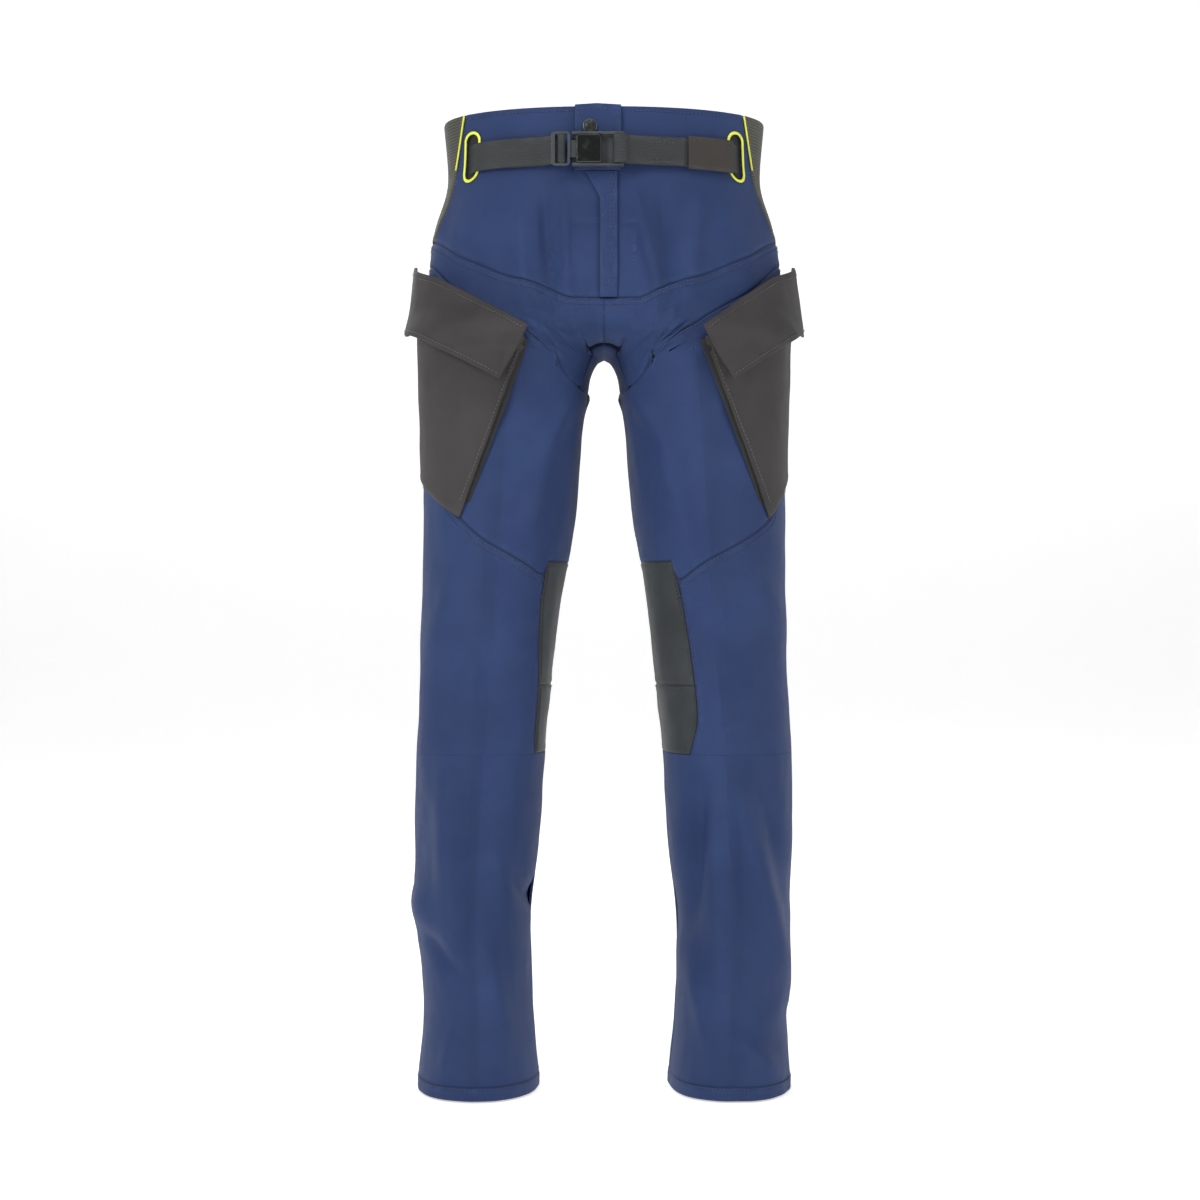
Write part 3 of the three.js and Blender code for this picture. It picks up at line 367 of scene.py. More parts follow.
YOKE_CORNER = (OUTSIDE, -130)  # where the yoke's seam meets the outseam
BACK_YOKE = [(SIDE_BACK, -150), (0.8, -128), (1, -96)]
BAND_TOP = [(0, -203), (35, -203), (73, -187), (100, -180), (140, -162), (188, -131)]
BAND_BOTTOM = [(30, -292), (48, -268), (75, -244), (110, -222), (150, -197), (192, -156)]
SEAT_INNER = float(sweep_at_depth(GUSSET_REACH, THIGH_BACK_Z - 3))
BAND_INNER = float(sweep_at_depth(-GUSSET_REACH, THIGH_BACK_Z - 3))
yoke_seam = front_seam(BAND_TOP, YOKE_CORNER)
band_outside = [(float(sweep_at(x, z)), z) for x, z in BAND_BOTTOM] + [(OUTSIDE, -155)]
band_bottom = seam(gusset_edge(-GUSSET_REACH, BAND_INNER) + band_outside)
thigh_top = seam([(0, THIGH_INNER_Z), (BAND_INNER, THIGH_BACK_Z - 5)] + band_outside)
back_yoke_bottom = seam(BACK_YOKE)
seat_top = seam([YOKE_CORNER] + BACK_YOKE)
seat_inner = [(1 - s, z) for s, z in gusset_edge(GUSSET_REACH, SEAT_INNER)][::-1]
under_seat = [
    (OUTSIDE + t * (seat_inner[0][0] - OUTSIDE), THIGH_BACK_Z + t * (seat_inner[0][1] - THIGH_BACK_Z))
    for t in (0, 0.3, 0.6, 0.9)
]
seat_bottom = seam(under_seat + seat_inner)
back_thigh_top = seam(under_seat + [seat_inner[0], (1, THIGH_INNER_Z)])
side_bottom = seam([(0.46, -128), YOKE_CORNER, BACK_YOKE[0]])
side_front = front_edge([(150, 0), (161, -60), (166, -80), (187, -131)])
GRIP_EDGES = {
    "right": front_edge([(62, -482), (68.8, -540), (71.5, -616), (76, -688), (76, -700)]),
    "left": front_edge([(74, -482), (84, -530), (97, -616), (100, -650), (92, -691)]),
}


def knee_seam(name, corners, outside):
    inner = float(GRIP_EDGES[name](GRIP_TOP))
    return front_seam(corners, (OUTSIDE, outside)), inner


KNEE_SEAMS = {
    "right": knee_seam("right", [(70, -495), (121, -464), (154, -436), (178, -406)], -388),
    "left": knee_seam("left", [(84, -501), (116, -478), (176, -438), (190, -408)], -392),
}


def knee_line(name):
    """The seam over the knee, level across the grip panel and rising from its corner to the outseam."""
    line, inner = KNEE_SEAMS[name]
    return lambda s: np.where(s < inner, GRIP_TOP, line(np.maximum(s, inner)))


# ---- meshes ----
FINE = np.array([0, 0.9, 2.0, 3.6, 6.2, 9.5])  # distances from a seam at which a panel has lines, in mm
CELL = 5.5
SOLVER_PASSES, SOLVER_PACE = 22, 0.65  # how a panel's grid settles between its edges


def run_along(path):
    """The distance along a path at each of its points."""
    return np.concatenate([[0], np.cumsum(np.linalg.norm(np.diff(path, axis=0), axis=1))])


def linked(name, data):
    """A new object in the scene, for a mesh, a light or a camera."""
    thing = bpy.data.objects.new(name, data)
    bpy.context.scene.collection.objects.link(thing)
    return thing


class Cloth:
    """One soft piece: cloth grids and the stitches on them, gathered into a single mesh."""

    def __init__(self):
        self.points, self.faces, self.slots, self.smooth, self.weave, self.edge = [], [], [], [], [], []
        self.count = 0
        self.cut_area = 0.0

    def _take(self, points, faces, slot, weave, edge, rims=0):
        self.points.append(points.reshape(-1, 3))
        self.faces.append(faces + self.count)
        self.slots.append(np.full(len(faces), slot))
        self.smooth.append(np.arange(len(faces)) < len(faces) - rims)
        self.weave.append(weave.reshape(-1, 3))
        self.edge.append(edge.reshape(-1))
        self.count += len(self.points[-1])

    def slab(self, outer, inner, weave, edge, flip=False, slot=0, hole=None):
        """Two facing grids closed all round. hole marks the cells that show the third material, which in the
        belt slot is painted shade.
        """
        columns, rows = outer.shape[:2]
        size = columns * rows
        index = np.arange(size).reshape(columns, rows)
        a, b, c, d = index[:-1, :-1], index[1:, :-1], index[1:, 1:], index[:-1, 1:]
        front = np.stack([a, d, c, b], -1).reshape(-1, 4)
        back = front[:, ::-1] + size
        ring = np.concatenate([index[:, 0], index[-1, 1:], index[-2::-1, -1], index[0, -2:0:-1]])
        follow = np.roll(ring, -1)
        rim = np.stack([ring, follow, follow + size, ring + size], -1)
        faces = np.concatenate([front, back, rim])
        if hole is not None:
            slot = np.concatenate([np.where(hole.reshape(-1), 2, slot), np.full(len(back) + len(rim), slot)])
        if flip:
            faces = faces[:, ::-1]
        self._take(np.concatenate([outer.reshape(-1, 3), inner.reshape(-1, 3)]), faces, slot,
                   np.concatenate([weave.reshape(-1, 3)] * 2), np.concatenate([edge.reshape(-1)] * 2),
                   len(rim))

    def stitches(self, path, normals, slot=1, length=3.3, gap=1.0, width=0.85, height=0.5):
        """A row of thread stitches along a path in metres, with the cloth's normals along it."""
        run = run_along(path) / MM
        count = int((run[-1] - length) // (length + gap))
        if count < 1:
            return
        starts = np.arange(count) * (length + gap)

        def at(values, place):
            return np.stack([np.interp(place, run, values[:, k]) for k in range(3)], -1)

        begin, end = at(path, starts), at(path, starts + length)
        along = end - begin
        along /= np.linalg.norm(along, axis=1, keepdims=True)
        normal = at(normals, starts + length / 2)
        across_row = np.cross(along, normal)
        near, far = begin + (end - begin) * 0.2, begin + (end - begin) * 0.8
        half, lift = width / 2 * MM, height * MM
        rings = []
        for middle in (near, far):
            rings += [middle + across_row * half, middle + normal * lift, middle - across_row * half]
        points = np.stack([begin, *rings, end], 1)
        shape = np.array([
            (0, 1, 2, 2), (0, 2, 3, 3), (1, 4, 5, 2), (2, 5, 6, 3), (7, 5, 4, 4), (7, 6, 5, 5), (0, 3, 1, 1),
            (3, 6, 4, 1), (7, 4, 6, 6),
        ])
        faces = (shape[None] + (np.arange(count) * 8)[:, None, None]).reshape(-1, 4)
        zeros = np.zeros((count * 8, 3))
        self._take(points.reshape(-1, 3), faces, slot, zeros, zeros[:, 0] + 20)

    def build(self, name, materials):
        mesh = bpy.data.meshes.new(name)
        points = np.concatenate(self.points)
        faces = [tuple(dict.fromkeys(face)) for face in np.concatenate(self.faces).tolist()]
        mesh.from_pydata(points.tolist(), [], faces)
        for material in materials:
            mesh.materials.append(material)
        mesh.polygons.foreach_set("material_index", np.concatenate(self.slots).astype(np.int32))
        mesh.polygons.foreach_set("use_smooth", np.concatenate(self.smooth))
        weave = mesh.attributes.new("weave", "FLOAT_VECTOR", "POINT")
        weave.data.foreach_set("vector", (np.concatenate(self.weave) * MM).astype(np.float32).ravel())
        edge = mesh.attributes.new("edge", "FLOAT", "POINT")
        edge.data.foreach_set("value", np.concatenate(self.edge).astype(np.float32))
        mesh.update()
        return linked(name, mesh)


def shares(count, total, axis):
    """Shares of a length at which its count + 1 lines lie: close together by both edges, even between them.
    They are an array over a grid that runs along the given axis, and total may differ over that grid."""
    lines = len(FINE)
    index = np.arange(count + 1).reshape((-1, 1) if axis == 0 else (1, -1))
    ease = np.minimum(1, total / (3 * FINE[-1]))
    low = FINE[np.minimum(index, lines - 1)] * ease / total
    high = FINE[np.minimum(count - index, lines - 1)] * ease / total
    inner = FINE[-1] * ease / total
    body = inner + (1 - 2 * inner) * ((index - lines + 1) / (count - 2 * lines + 2))
    return np.where(index < lines, low, np.where(index > count - lines, 1 - high, body))


def edge_gaps(u, v, wide, tall):
    """How far each place on a grid is from the left, right, top and bottom edges."""
    return {"l": u * wide, "r": (1 - u) * wide, "t": v * tall, "b": (1 - v) * tall}


def slant(line, s, z):
    """The length of a seam line over its level run."""
    slope = (line(s + STEP) - line(s - STEP)) / (2 * STEP) / per_sweep(s, z)
    return np.sqrt(1 + slope ** 2)


def tuck(distance):
    """The height of cloth beside a seam: pulled in at the seam, with the allowance under it standing up."""
    pulled_in = -0.8 * np.exp(-((distance / 1.2) ** 2))
    allowance = 0.4 * smoothstep(distance, 1.2, 3) * smoothstep(distance, 9.5, 7)
    return pulled_in + allowance


def open_edge(distance):
    return -0.5 * np.exp(-((distance / 0.9) ** 2))


def panel(cloth, side, left, right, top, bottom, out=0.0, thick=SHELL, sewn="lrtb", free="", cell=CELL,
          hole=None):
    """Adds a panel between two edges (sweep at a height) and two seams (height at a sweep). sewn names the
    edges that are seams and free those that hang loose; at the others the cloth goes on in the next panel."""
    guess = float(np.mean(bottom(np.array([0.3])) + top(np.array([0.3])))) / 2
    z = np.full((1, 1), guess)
    s = (left(z) + right(z)) / 2
    width = float(np.max((right(z) - left(z)) * per_sweep(s, z)))
    tall = max(float(np.max(top(q) - bottom(q))) for q in (s, left(z), right(z)))
    columns = max(int(width / cell) + 6, 14)
    rows = max(int(tall / (cell * 1.25)) + 6, 14)
    grid = (columns + 1, rows + 1)
    s, z = np.full(grid, float(s[0, 0])), np.full(grid, guess)
    for _ in range(SOLVER_PASSES):
        wide = np.maximum((right(z) - left(z)) * per_sweep(s, z), 3)
        u = shares(columns, wide, 0)
        s = left(z) + (right(z) - left(z)) * u
        high = np.maximum(top(s) - bottom(s), 3)
        v = shares(rows, high, 1)
        z = (1 - SOLVER_PACE) * z + SOLVER_PACE * (top(s) - high * v)
    gaps = edge_gaps(u, v, wide, high)
    for name, line in (("t", top), ("b", bottom)):
        gaps[name] = gaps[name] / slant(line, s, z)
    lay(cloth, side, s, z, out(u, v) if callable(out) else out, gaps, thick, sewn, free, hole)


def grid_area(points):
    rows, columns = points[1:, :-1] - points[:-1, :-1], points[:-1, 1:] - points[:-1, :-1]
    return float(np.linalg.norm(np.cross(rows, columns), axis=-1).sum())


def lay(cloth, side, s, z, out, gaps, thick, sewn="", free="", hole=None):
    """Adds a grid of cloth at sweeps and heights. gaps holds the distance of each point from each edge."""
    near, rim = (
        np.minimum.reduce([gaps[name] for name in names] + [np.full_like(s, 30)]) for names in (sewn, free)
    )
    lift = out + tuck(near) + open_edge(rim)
    if hole is not None:
        lift = lift - SLOT_DEPTH * hole(s, z)
    outer = cloth_points(side, s, z, lift)
    inner = cloth_points(side, s, z, lift - thick)
    weave = np.stack([(s - 0.5) * per_sweep(s, z), z, np.zeros_like(s)], -1)
    cut = None if hole is None else hole(*((g[:-1, :-1] + g[1:, 1:]) / 2 for g in (s, z)))
    cloth.slab(outer, inner, weave, near, flip=side == "right", hole=cut)
    cloth.cut_area += grid_area(off_surface(s, z, out) * MM)


ROW_POINTS = 160


def sew(cloth, side, s, z, out=0.0, lift=0.75, **how):
    """A row of stitches along sweeps and heights on the garment."""
    path = cloth_points(side, s, z, out + lift)
    normals = outwards(s, z)
    if side == "right":
        normals = normals * np.array([-1, 1, 1])
    cloth.stitches(path, normals, **how)


def row_along(cloth, side, line, s0, s1, inset, out=0.0, **how):
    """Stitches that follow a seam line at a distance below it (inset below 0 is above it)."""
    s = np.linspace(s0, s1, ROW_POINTS)
    sew(cloth, side, s, line(s) - inset * slant(line, s, line(s)), out, **how)


def row_down(cloth, side, edge, z0, z1, inset, out=0.0, **how):
    """Stitches down an edge, at a distance after it in sweep (inset below 0 is before it)."""
    z = np.linspace(z0, z1, ROW_POINTS)
    s = edge(z)
    sew(cloth, side, s + inset / per_sweep(s, z), z, out, **how)


# ---- materials ----
def srgb(r, g, b):
    """A colour as it looks on screen, 0 to 255, in the scene's own linear values."""
    return tuple(((v / 255 + 0.055) / 1.055) ** 2.4 if v > 10 else v / 255 / 12.92 for v in (r, g, b)) + (1,)


class Nodes:
    """Short names for making a material's nodes."""

    def __init__(self, name):
        self.material = bpy.data.materials.new(name)
        self.material.use_nodes = True
        self.tree = self.material.node_tree
        self.shader = self.tree.nodes["Principled BSDF"]

    def add(self, kind, **settings):
        node = self.tree.nodes.new(kind)
        for key, value in settings.items():
            setattr(node, key, value)
        return node

    def link(self, source, target):
        self.tree.links.new(source, target)

    def math(self, operation, a, b=None, c=None):
        node = self.add("ShaderNodeMath", operation=operation)
        for socket, value in zip(node.inputs, (a, b, c)):
            if value is None:
                continue
            if isinstance(value, (int, float)):
                socket.default_value = value
            else:
                self.link(value, socket)
        return node.outputs[0]

    def noise(self, vector, scale, detail=3.0, roughness=0.55):
        node = self.add("ShaderNodeTexNoise")
        node.inputs["Scale"].default_value = scale
        node.inputs["Detail"].default_value = detail
        node.inputs["Roughness"].default_value = roughness
        self.link(vector, node.inputs["Vector"])
        return node.outputs["Fac"]

    def mix(self, factor, a, b):
        node = self.add("ShaderNodeMix", data_type="RGBA")
        self.link(factor, node.inputs[0])
        for socket, value in ((node.inputs[6], a), (node.inputs[7], b)):
            if isinstance(value, tuple):
                socket.default_value = value
            else:
                self.link(value, socket)
        return node.outputs[2]

    def stretch(self, value, low, high, to_low=0.0, to_high=1.0):
        node = self.add("ShaderNodeMapRange")
        self.link(value, node.inputs[0])
        for socket, number in zip(list(node.inputs)[1:5], (low, high, to_low, to_high)):
            socket.default_value = number
        return node.outputs[0]

    def place(self):
        return self.add("ShaderNodeTexCoord").outputs["Object"]

    def weave(self):
        return self.add("ShaderNodeAttribute", attribute_name="weave").outputs["Vector"]

    def edge(self):
        return self.add("ShaderNodeAttribute", attribute_name="edge").outputs["Fac"]

    def bump(self, height, distance, strength=1.0, under=None):
        node = self.add("ShaderNodeBump")
        node.inputs["Strength"].default_value = strength
        node.inputs["Distance"].default_value = distance
        self.link(height, node.inputs["Height"])
        if under is not None:
            self.link(under, node.inputs["Normal"])
        return node.outputs[0]

    def finish(self, colour, roughness, normal, **uniform):
        self.link(colour, self.shader.inputs["Base Color"])
        self.link(roughness, self.shader.inputs["Roughness"])
        self.link(normal, self.shader.inputs["Normal"])
        for key, value in uniform.items():
            self.shader.inputs[key.replace("_", " ")].default_value = value
        return self.material


CLOTH_ROUGHNESS = 0.64  # at its least; noise adds up to 0.16


def threads(n, vector, pitch, kind):
    """The height of woven threads: plain cloth, twill, or ribs along or across the piece."""
    split = n.add("ShaderNodeSeparateXYZ")
    n.link(vector, split.inputs[0])
    turn = 2 * math.pi / (pitch * MM)
    warp = n.math("SINE", n.math("MULTIPLY", split.outputs[0], turn))
    weft = n.math("SINE", n.math("MULTIPLY", split.outputs[1], turn))
    if kind == "plain":
        return n.math("MULTIPLY_ADD", n.math("MULTIPLY", warp, weft), 0.5, 0.5)
    if kind == "twill":
        slant = n.math("ADD", split.outputs[0], split.outputs[1])
        return n.math("MULTIPLY_ADD", n.math("SINE", n.math("MULTIPLY", slant, turn)), 0.5, 0.5)
    main, cross = (weft, warp) if kind == "across" else (warp, weft)
    return n.math("MULTIPLY_ADD", n.math("ADD", main, n.math("MULTIPLY", cross, 0.2)), 0.42, 0.5)


def fabric(name, colour, second, worn, pitch, kind, depth=0.00022, sheen=0.03, crinkle=0.0006):
    """Woven cloth: two thread colours, slow fading, painted shade as a dark line in each seam's groove, and
    wear on the ridge beside.
    """
    n = Nodes(name)
    place, weave, edge = n.place(), n.weave(), n.edge()
    woven = threads(n, weave, pitch, kind)
    speckle = n.noise(weave, 900, 2)
    yarn = n.math("MULTIPLY_ADD", woven, 0.5, n.math("MULTIPLY", speckle, 0.5))
    cloth = n.mix(n.stretch(yarn, 0.25, 0.75), second, colour)
    faded = n.mix(n.stretch(n.noise(place, 9, 4), 0.45, 0.8, 0, 0.3), cloth, worn)
    ridge = n.math("MULTIPLY", n.stretch(edge, 1.2, 2.6), n.stretch(edge, 8.5, 3.2))
    rubbed = n.math("MULTIPLY", ridge, n.stretch(n.noise(place, 60, 3), 0.42, 0.66, 0, 0.34))
    raised = n.mix(rubbed, faded, worn)
    # painted shade: each seam's groove is darkened towards a third of the cloth's colour
    seam_groove_shade = n.stretch(edge, 1.3, 0.2, 0, 0.6)
    seam_shade_colour = tuple(v * 0.3 for v in colour[:3]) + (1,)
    final = n.mix(seam_groove_shade, raised, seam_shade_colour)
    roughness = n.math("MULTIPLY_ADD", n.noise(place, 40, 2), 0.16, CLOTH_ROUGHNESS)
    slow = n.bump(n.noise(place, 70, 4), crinkle, 0.5)
    weave_bump = n.bump(woven, depth, 0.55, slow)
    return n.finish(final, roughness, weave_bump, Sheen_Weight=sheen, Sheen_Roughness=0.45)


def thread(name, colour):
    n = Nodes(name)
    place = n.place()
    twist = n.noise(place, 2600, 2)
    tone = n.mix(n.stretch(twist, 0.35, 0.7), tuple(v * 0.6 for v in colour[:3]) + (1,), colour)
    roughness = n.math("MULTIPLY_ADD", twist, 0.2, 0.45)
    return n.finish(tone, roughness, n.bump(twist, 0.0001, 0.6), Sheen_Weight=0.2)


def grip_leather(name, colour, worn):
    """Grained grip leather: cells of a few millimetres, shinier where the boot and the tank rub it."""
    n = Nodes(name)
    place, edge = n.place(), n.edge()
    cells = n.add("ShaderNodeTexVoronoi", feature="DISTANCE_TO_EDGE")
    cells.inputs["Scale"].default_value = 520
    n.link(place, cells.inputs["Vector"])
    grain = n.math("MINIMUM", n.math("MULTIPLY", cells.outputs["Distance"], 4), 1.0)
    rubbed = n.stretch(n.noise(place, 14, 4), 0.42, 0.75, 0, 0.55)
    tone = n.mix(rubbed, colour, worn)
    # painted shade: each seam's groove is darkened towards black
    final = n.mix(n.stretch(edge, 1.4, 0.2, 0, 0.6), tone, (0.003, 0.003, 0.004, 1))
    roughness = n.math("MULTIPLY_ADD", rubbed, -0.16, 0.66)
    slow = n.bump(n.noise(place, 90, 3), 0.0006, 0.5)
    return n.finish(final, roughness, n.bump(grain, 0.00025, 0.6, slow), Sheen_Weight=0.08)


def plastic(name, colour, worn, rough, grain=0.00005, **uniform):
    """Moulded plastic with a fine grain and scuffs."""
    n = Nodes(name)
    place = n.place()
    scuffs = n.stretch(n.noise(place, 130, 6, 0.7), 0.52, 0.75, 0, 0.5)
    fine = n.noise(place, 1800, 2)
    tone = n.mix(scuffs, colour, worn)
    roughness = n.math("MULTIPLY_ADD", scuffs, 0.3, rough)
    return n.finish(tone, roughness, n.bump(fine, grain, 0.5), **uniform)


def plated(name, colour, worn):
    n = Nodes(name)
    place = n.place()
    scratches = n.stretch(n.noise(place, 400, 5, 0.7), 0.5, 0.72)
    tone = n.mix(scratches, colour, worn)
    roughness = n.math("MULTIPLY_ADD", scratches, 0.2, 0.3)
    return n.finish(tone, roughness, n.bump(scratches, 0.00003, 0.4), Metallic=0.9)


BLUE = fabric("blue_softshell", srgb(24, 53, 104), srgb(15, 36, 80), srgb(44, 76, 126), 0.9, "twill")
GREY = fabric(
    "grey_canvas", srgb(53, 50, 50), srgb(40, 37, 37), srgb(74, 71, 71), 1.1, "plain", crinkle=0.0009)
RIBBED = fabric(
    "ribbed_stretch", srgb(78, 78, 72), srgb(44, 44, 41), srgb(100, 100, 92), 3.2, "across", depth=0.0009)
# Black lining cloth, which is also drawn as painted shade in the belt slots and in the pockets' bellows.
LINING_AND_SHADE = fabric("black_lining_and_painted_shade", srgb(28, 28, 30), srgb(18, 18, 20), srgb(44, 44, 46), 1.0, "plain", sheen=0.1)
WEBBING = fabric(
    "belt_webbing", srgb(47, 51, 52), srgb(30, 33, 34), srgb(70, 74, 74), 1.9, "across", depth=0.0006)
PATCH = fabric(
    "belt_patch_leather", srgb(52, 46, 43), srgb(44, 39, 36), srgb(72, 66, 62), 0.7, "plain", sheen=0.05)
GRIP = grip_leather("grip_leather", srgb(34, 39, 42), srgb(58, 64, 67))
NAVY_THREAD = thread("navy_thread", srgb(30, 44, 92))
GREY_THREAD = thread("grey_thread", srgb(92, 90, 88))
BLACK_THREAD = thread("black_thread", srgb(34, 36, 38))
YELLOW = plastic("yellow_rubber", srgb(226, 232, 74), srgb(190, 196, 84), 0.42, Coat_Weight=0.15)
BUCKLE = plastic("grey_nylon", srgb(62, 67, 70), srgb(92, 96, 98), 0.42)
COVER = plastic("black_gloss", srgb(26, 28, 27), srgb(60, 62, 62), 0.16, 0.00001, Coat_Weight=0.5)
METAL = plated("dark_plate", srgb(84, 88, 90), srgb(140, 142, 144))
ZIP = plastic("zip_nylon", srgb(26, 32, 54), srgb(52, 58, 84), 0.45)


def made(cloth, name, materials, slot, body, *nodes, held="hung"):
    """Turns gathered cloth into a piece on a body, standing for CAD nodes, whose own pieces it hides.
    A body of left or right is a leg's, and its cloth is not attached to a body but keeps its place baked in."""
    piece = cloth.build(name, materials)
    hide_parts(*nodes)
    if body in ("left", "right"):
        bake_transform(piece)
    else:
        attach(piece, body)


BLUE_SEWN = [BLUE, NAVY_THREAD]


def made_blue(cloth, name, body, *nodes):
    made(cloth, name, BLUE_SEWN, "shell_blue", body, *nodes)


FLY_EDGES = {"left": 12.0, "right": 2.0}  # how far out from the middle each front yoke begins
YOKE_CELL = 2.6
SEAM_ROWS, SEAT_ROWS = (2.4, 7.2), (2.6, 7.4)  # how far the twin rows of stitches lie from their seam
HEM_TOP, HEM_THICK = HEM + 15, 2.4
SLOT_X, SLOT_Z, SLOT_WIDTH, SLOT_HEIGHT = 142.0, -46.0, 17.0, 48.0
SLOT_DEPTH = 2.6
SLOT_LAP = 0.9  # how far the recess goes on under the ring
SLOT_TILT = math.tan(math.radians(7))
slot_sweep = float(sweep_at(SLOT_X, SLOT_Z))
slot_per_mm = 1 / float(np.linalg.norm(across(slot_sweep, SLOT_Z)))


def in_slot(sweep, z):
    """Whether a place on the front lies in the belt slot, or just under the ring round it."""
    up = z - SLOT_Z
    right = (sweep - slot_sweep) / slot_per_mm + up * SLOT_TILT
    beyond = np.maximum(np.abs(up) - (SLOT_HEIGHT - SLOT_WIDTH) / 2, 0)
    return np.hypot(right, beyond) < SLOT_WIDTH / 2 + SLOT_LAP


for side in SIDES:
    fly_edge = FLY_EDGES[side]
    front = Cloth()
    # painted shade: the cells inside the belt slot are recessed and drawn in the black lining, for the dark
    # opening
    panel(front, side, lambda z: sweep_at(fly_edge, z), side_front, level(0), yoke_seam, sewn="rb", free="lt",
          cell=YOKE_CELL, hole=in_slot)
    row_along(front, side, level(0), float(sweep_at(fly_edge, 0)) + 0.02, 0.34, 5, lift=0.3)
    row_down(front, side, side_front, -3, -126, -4)
    made(front, f"yoke_cloth_{side}", BLUE_SEWN + [LINING_AND_SHADE], "shell_blue", "upper", f"front_yoke_{side}")

    stretch = Cloth()
    panel(stretch, side, side_front, level(SIDE_BACK), level(0), side_bottom, sewn="lrb", free="t")
    made(stretch, f"stretch_cloth_{side}", [RIBBED], "stretch_panel", "upper", f"side_stretch_{side}",
         held="stretched")

    seat = Cloth()
    panel(seat, side, level(OUTSIDE), level(1), seat_top, seat_bottom)
    for inset in SEAT_ROWS:
        row_along(seat, side, seat_top, SIDE_BACK, 0.99, inset)
    row_down(seat, side, level(1), -100, -244, -4)
    made_blue(seat, f"seat_cloth_{side}", "upper", f"seat_{side}")

    thigh = Cloth()
    panel(thigh, side, level(0), level(OUTSIDE), thigh_top, knee_line(side))
    row_along(thigh, side, thigh_top, 0.03, 0.5, 2.6)
    made_blue(thigh, f"thigh_cloth_{side}", "upper", f"front_thigh_{side}")

    back = Cloth()
    panel(back, side, level(OUTSIDE), level(1), back_thigh_top, level(GRIP_TOP), sewn="lrt")
    made_blue(back, f"back_thigh_cloth_{side}", "upper", f"back_thigh_{side}")

    leg = Cloth()
    inner_edge = GRIP_EDGES[side]
    grip_low = float(inner_edge(KNEE_BOTTOM))
    panel(leg, side, inner_edge, level(OUTSIDE), knee_line(side), level(KNEE_BOTTOM), sewn="lrt")
    panel(leg, side, level(0), level(OUTSIDE), level(KNEE_BOTTOM), level(HEM_TOP), sewn="lr")
    for inset in SEAM_ROWS:
        row_along(leg, side, knee_line(side), grip_low, 0.5, inset)
    row_down(leg, side, inner_edge, GRIP_TOP - 14, KNEE_BOTTOM, 3)
    panel(leg, side, level(OUTSIDE), level(1 - GRIP_BACK), level(GRIP_TOP), level(KNEE_BOTTOM), sewn="lr")
    panel(leg, side, level(OUTSIDE), level(1), level(KNEE_BOTTOM), level(HEM_TOP), sewn="lr")
    for s0, s1 in ((0, 0.5), (0.5, 1)):
        panel(leg, side, level(s0), level(s1), level(HEM_TOP), level(HEM), out=0.5, thick=HEM_THICK,
              sewn="t", free="b")
        row_along(leg, side, level(HEM_TOP), s0 + 0.01, s1 - 0.01, 2.2, out=0.4)
    made_blue(leg, f"leg_cloth_{side}", side, f"knee_front_{side}", f"knee_fabric_{side}",
              f"shin_front_{side}", f"shin_back_{side}", f"hem_{side}")

    grip = Cloth()
    for top, bottom in ((GRIP_TOP, KNEE), (KNEE, KNEE_BOTTOM)):
        panel(grip, side, level(-GRIP_BACK), inner_edge, level(top), level(bottom), out=0.2)
        row_along(grip, side, level(top), -GRIP_BACK + 0.01, float(inner_edge(top)) - 0.01, 3, out=0.2)
        row_down(grip, side, inner_edge, top - 4, bottom + 4, -3, out=0.2)
    made(grip, f"grip_cloth_{side}", [GRIP, BLACK_THREAD], "grip_panel", side, f"grip_upper_{side}",
         f"grip_lower_{side}")

band = Cloth()
for side in SIDES:
    panel(band, side, level(0), level(OUTSIDE), yoke_seam, band_bottom, sewn="rtb")
    for inset in SEAM_ROWS:
        row_along(band, side, yoke_seam, 0, 0.5, inset)
made_blue(band, "hip_band_cloth", "upper", "hip_band")

yoke = Cloth()
for side in SIDES:
    panel(yoke, side, level(SIDE_BACK), level(1), level(0), back_yoke_bottom, sewn="lb", free="t")
    row_along(yoke, side, level(0), SIDE_BACK + 0.01, 1, 5, lift=0.3)
    row_along(yoke, side, back_yoke_bottom, SIDE_BACK + 0.01, 1, -2.6)
made_blue(yoke, "back_yoke_cloth", "upper", "back_yoke")


GUSSET_OVERLAP = 3.0  # how far it goes on under the panels in front and behind
GUSSET_THICK, GUSSET_SINK = 1.2, 1.1  # sink: how far its edges drop under those panels


def gusset_point(drop, y):
    """A place on the saddle: drop runs from -1 on one thigh over 0 in the middle to 1 on the other."""
    z = saddle_z(y) - (GUSSET_DROP + 5) * abs(drop)
    x = softened(max(float(inner_thigh(y, z)), 0.0))
    return math.copysign(float(x), drop), y, z


def gusset_cloth():
    """The saddle between the legs, as strips that run down both inner thighs from the middle."""
    cloth = Cloth()
    end = GUSSET_REACH + GUSSET_OVERLAP
    drop, y = np.meshgrid(np.linspace(-1, 1, 29), np.linspace(-end, end, 25), indexing="ij")
    outer = np.array([gusset_point(*place) for place in zip(drop.flat, y.flat)]).reshape(*y.shape, 3)
    inwards = np.stack([drop, 0 * drop, 1.2 - np.abs(drop)], -1)
    at_ends = smoothstep(np.abs(y), GUSSET_REACH - 5, GUSSET_REACH)
    hidden = np.maximum(at_ends, smoothstep(np.abs(drop), 0.82, 0.9))
    outer = outer + inwards * (GUSSET_SINK * hidden)[..., None]
    inner = outer + inwards * GUSSET_THICK
    edge = 21.0 * (1 - np.abs(y) / GUSSET_REACH)
    cloth.slab(outer * MM, inner * MM, np.stack([drop * 60, y, 0 * y], -1), edge, flip=True)
    cloth.cut_area = grid_area(outer * MM)
    return cloth


made_blue(gusset_cloth(), "gusset_cloth", "upper", "crotch_gusset")

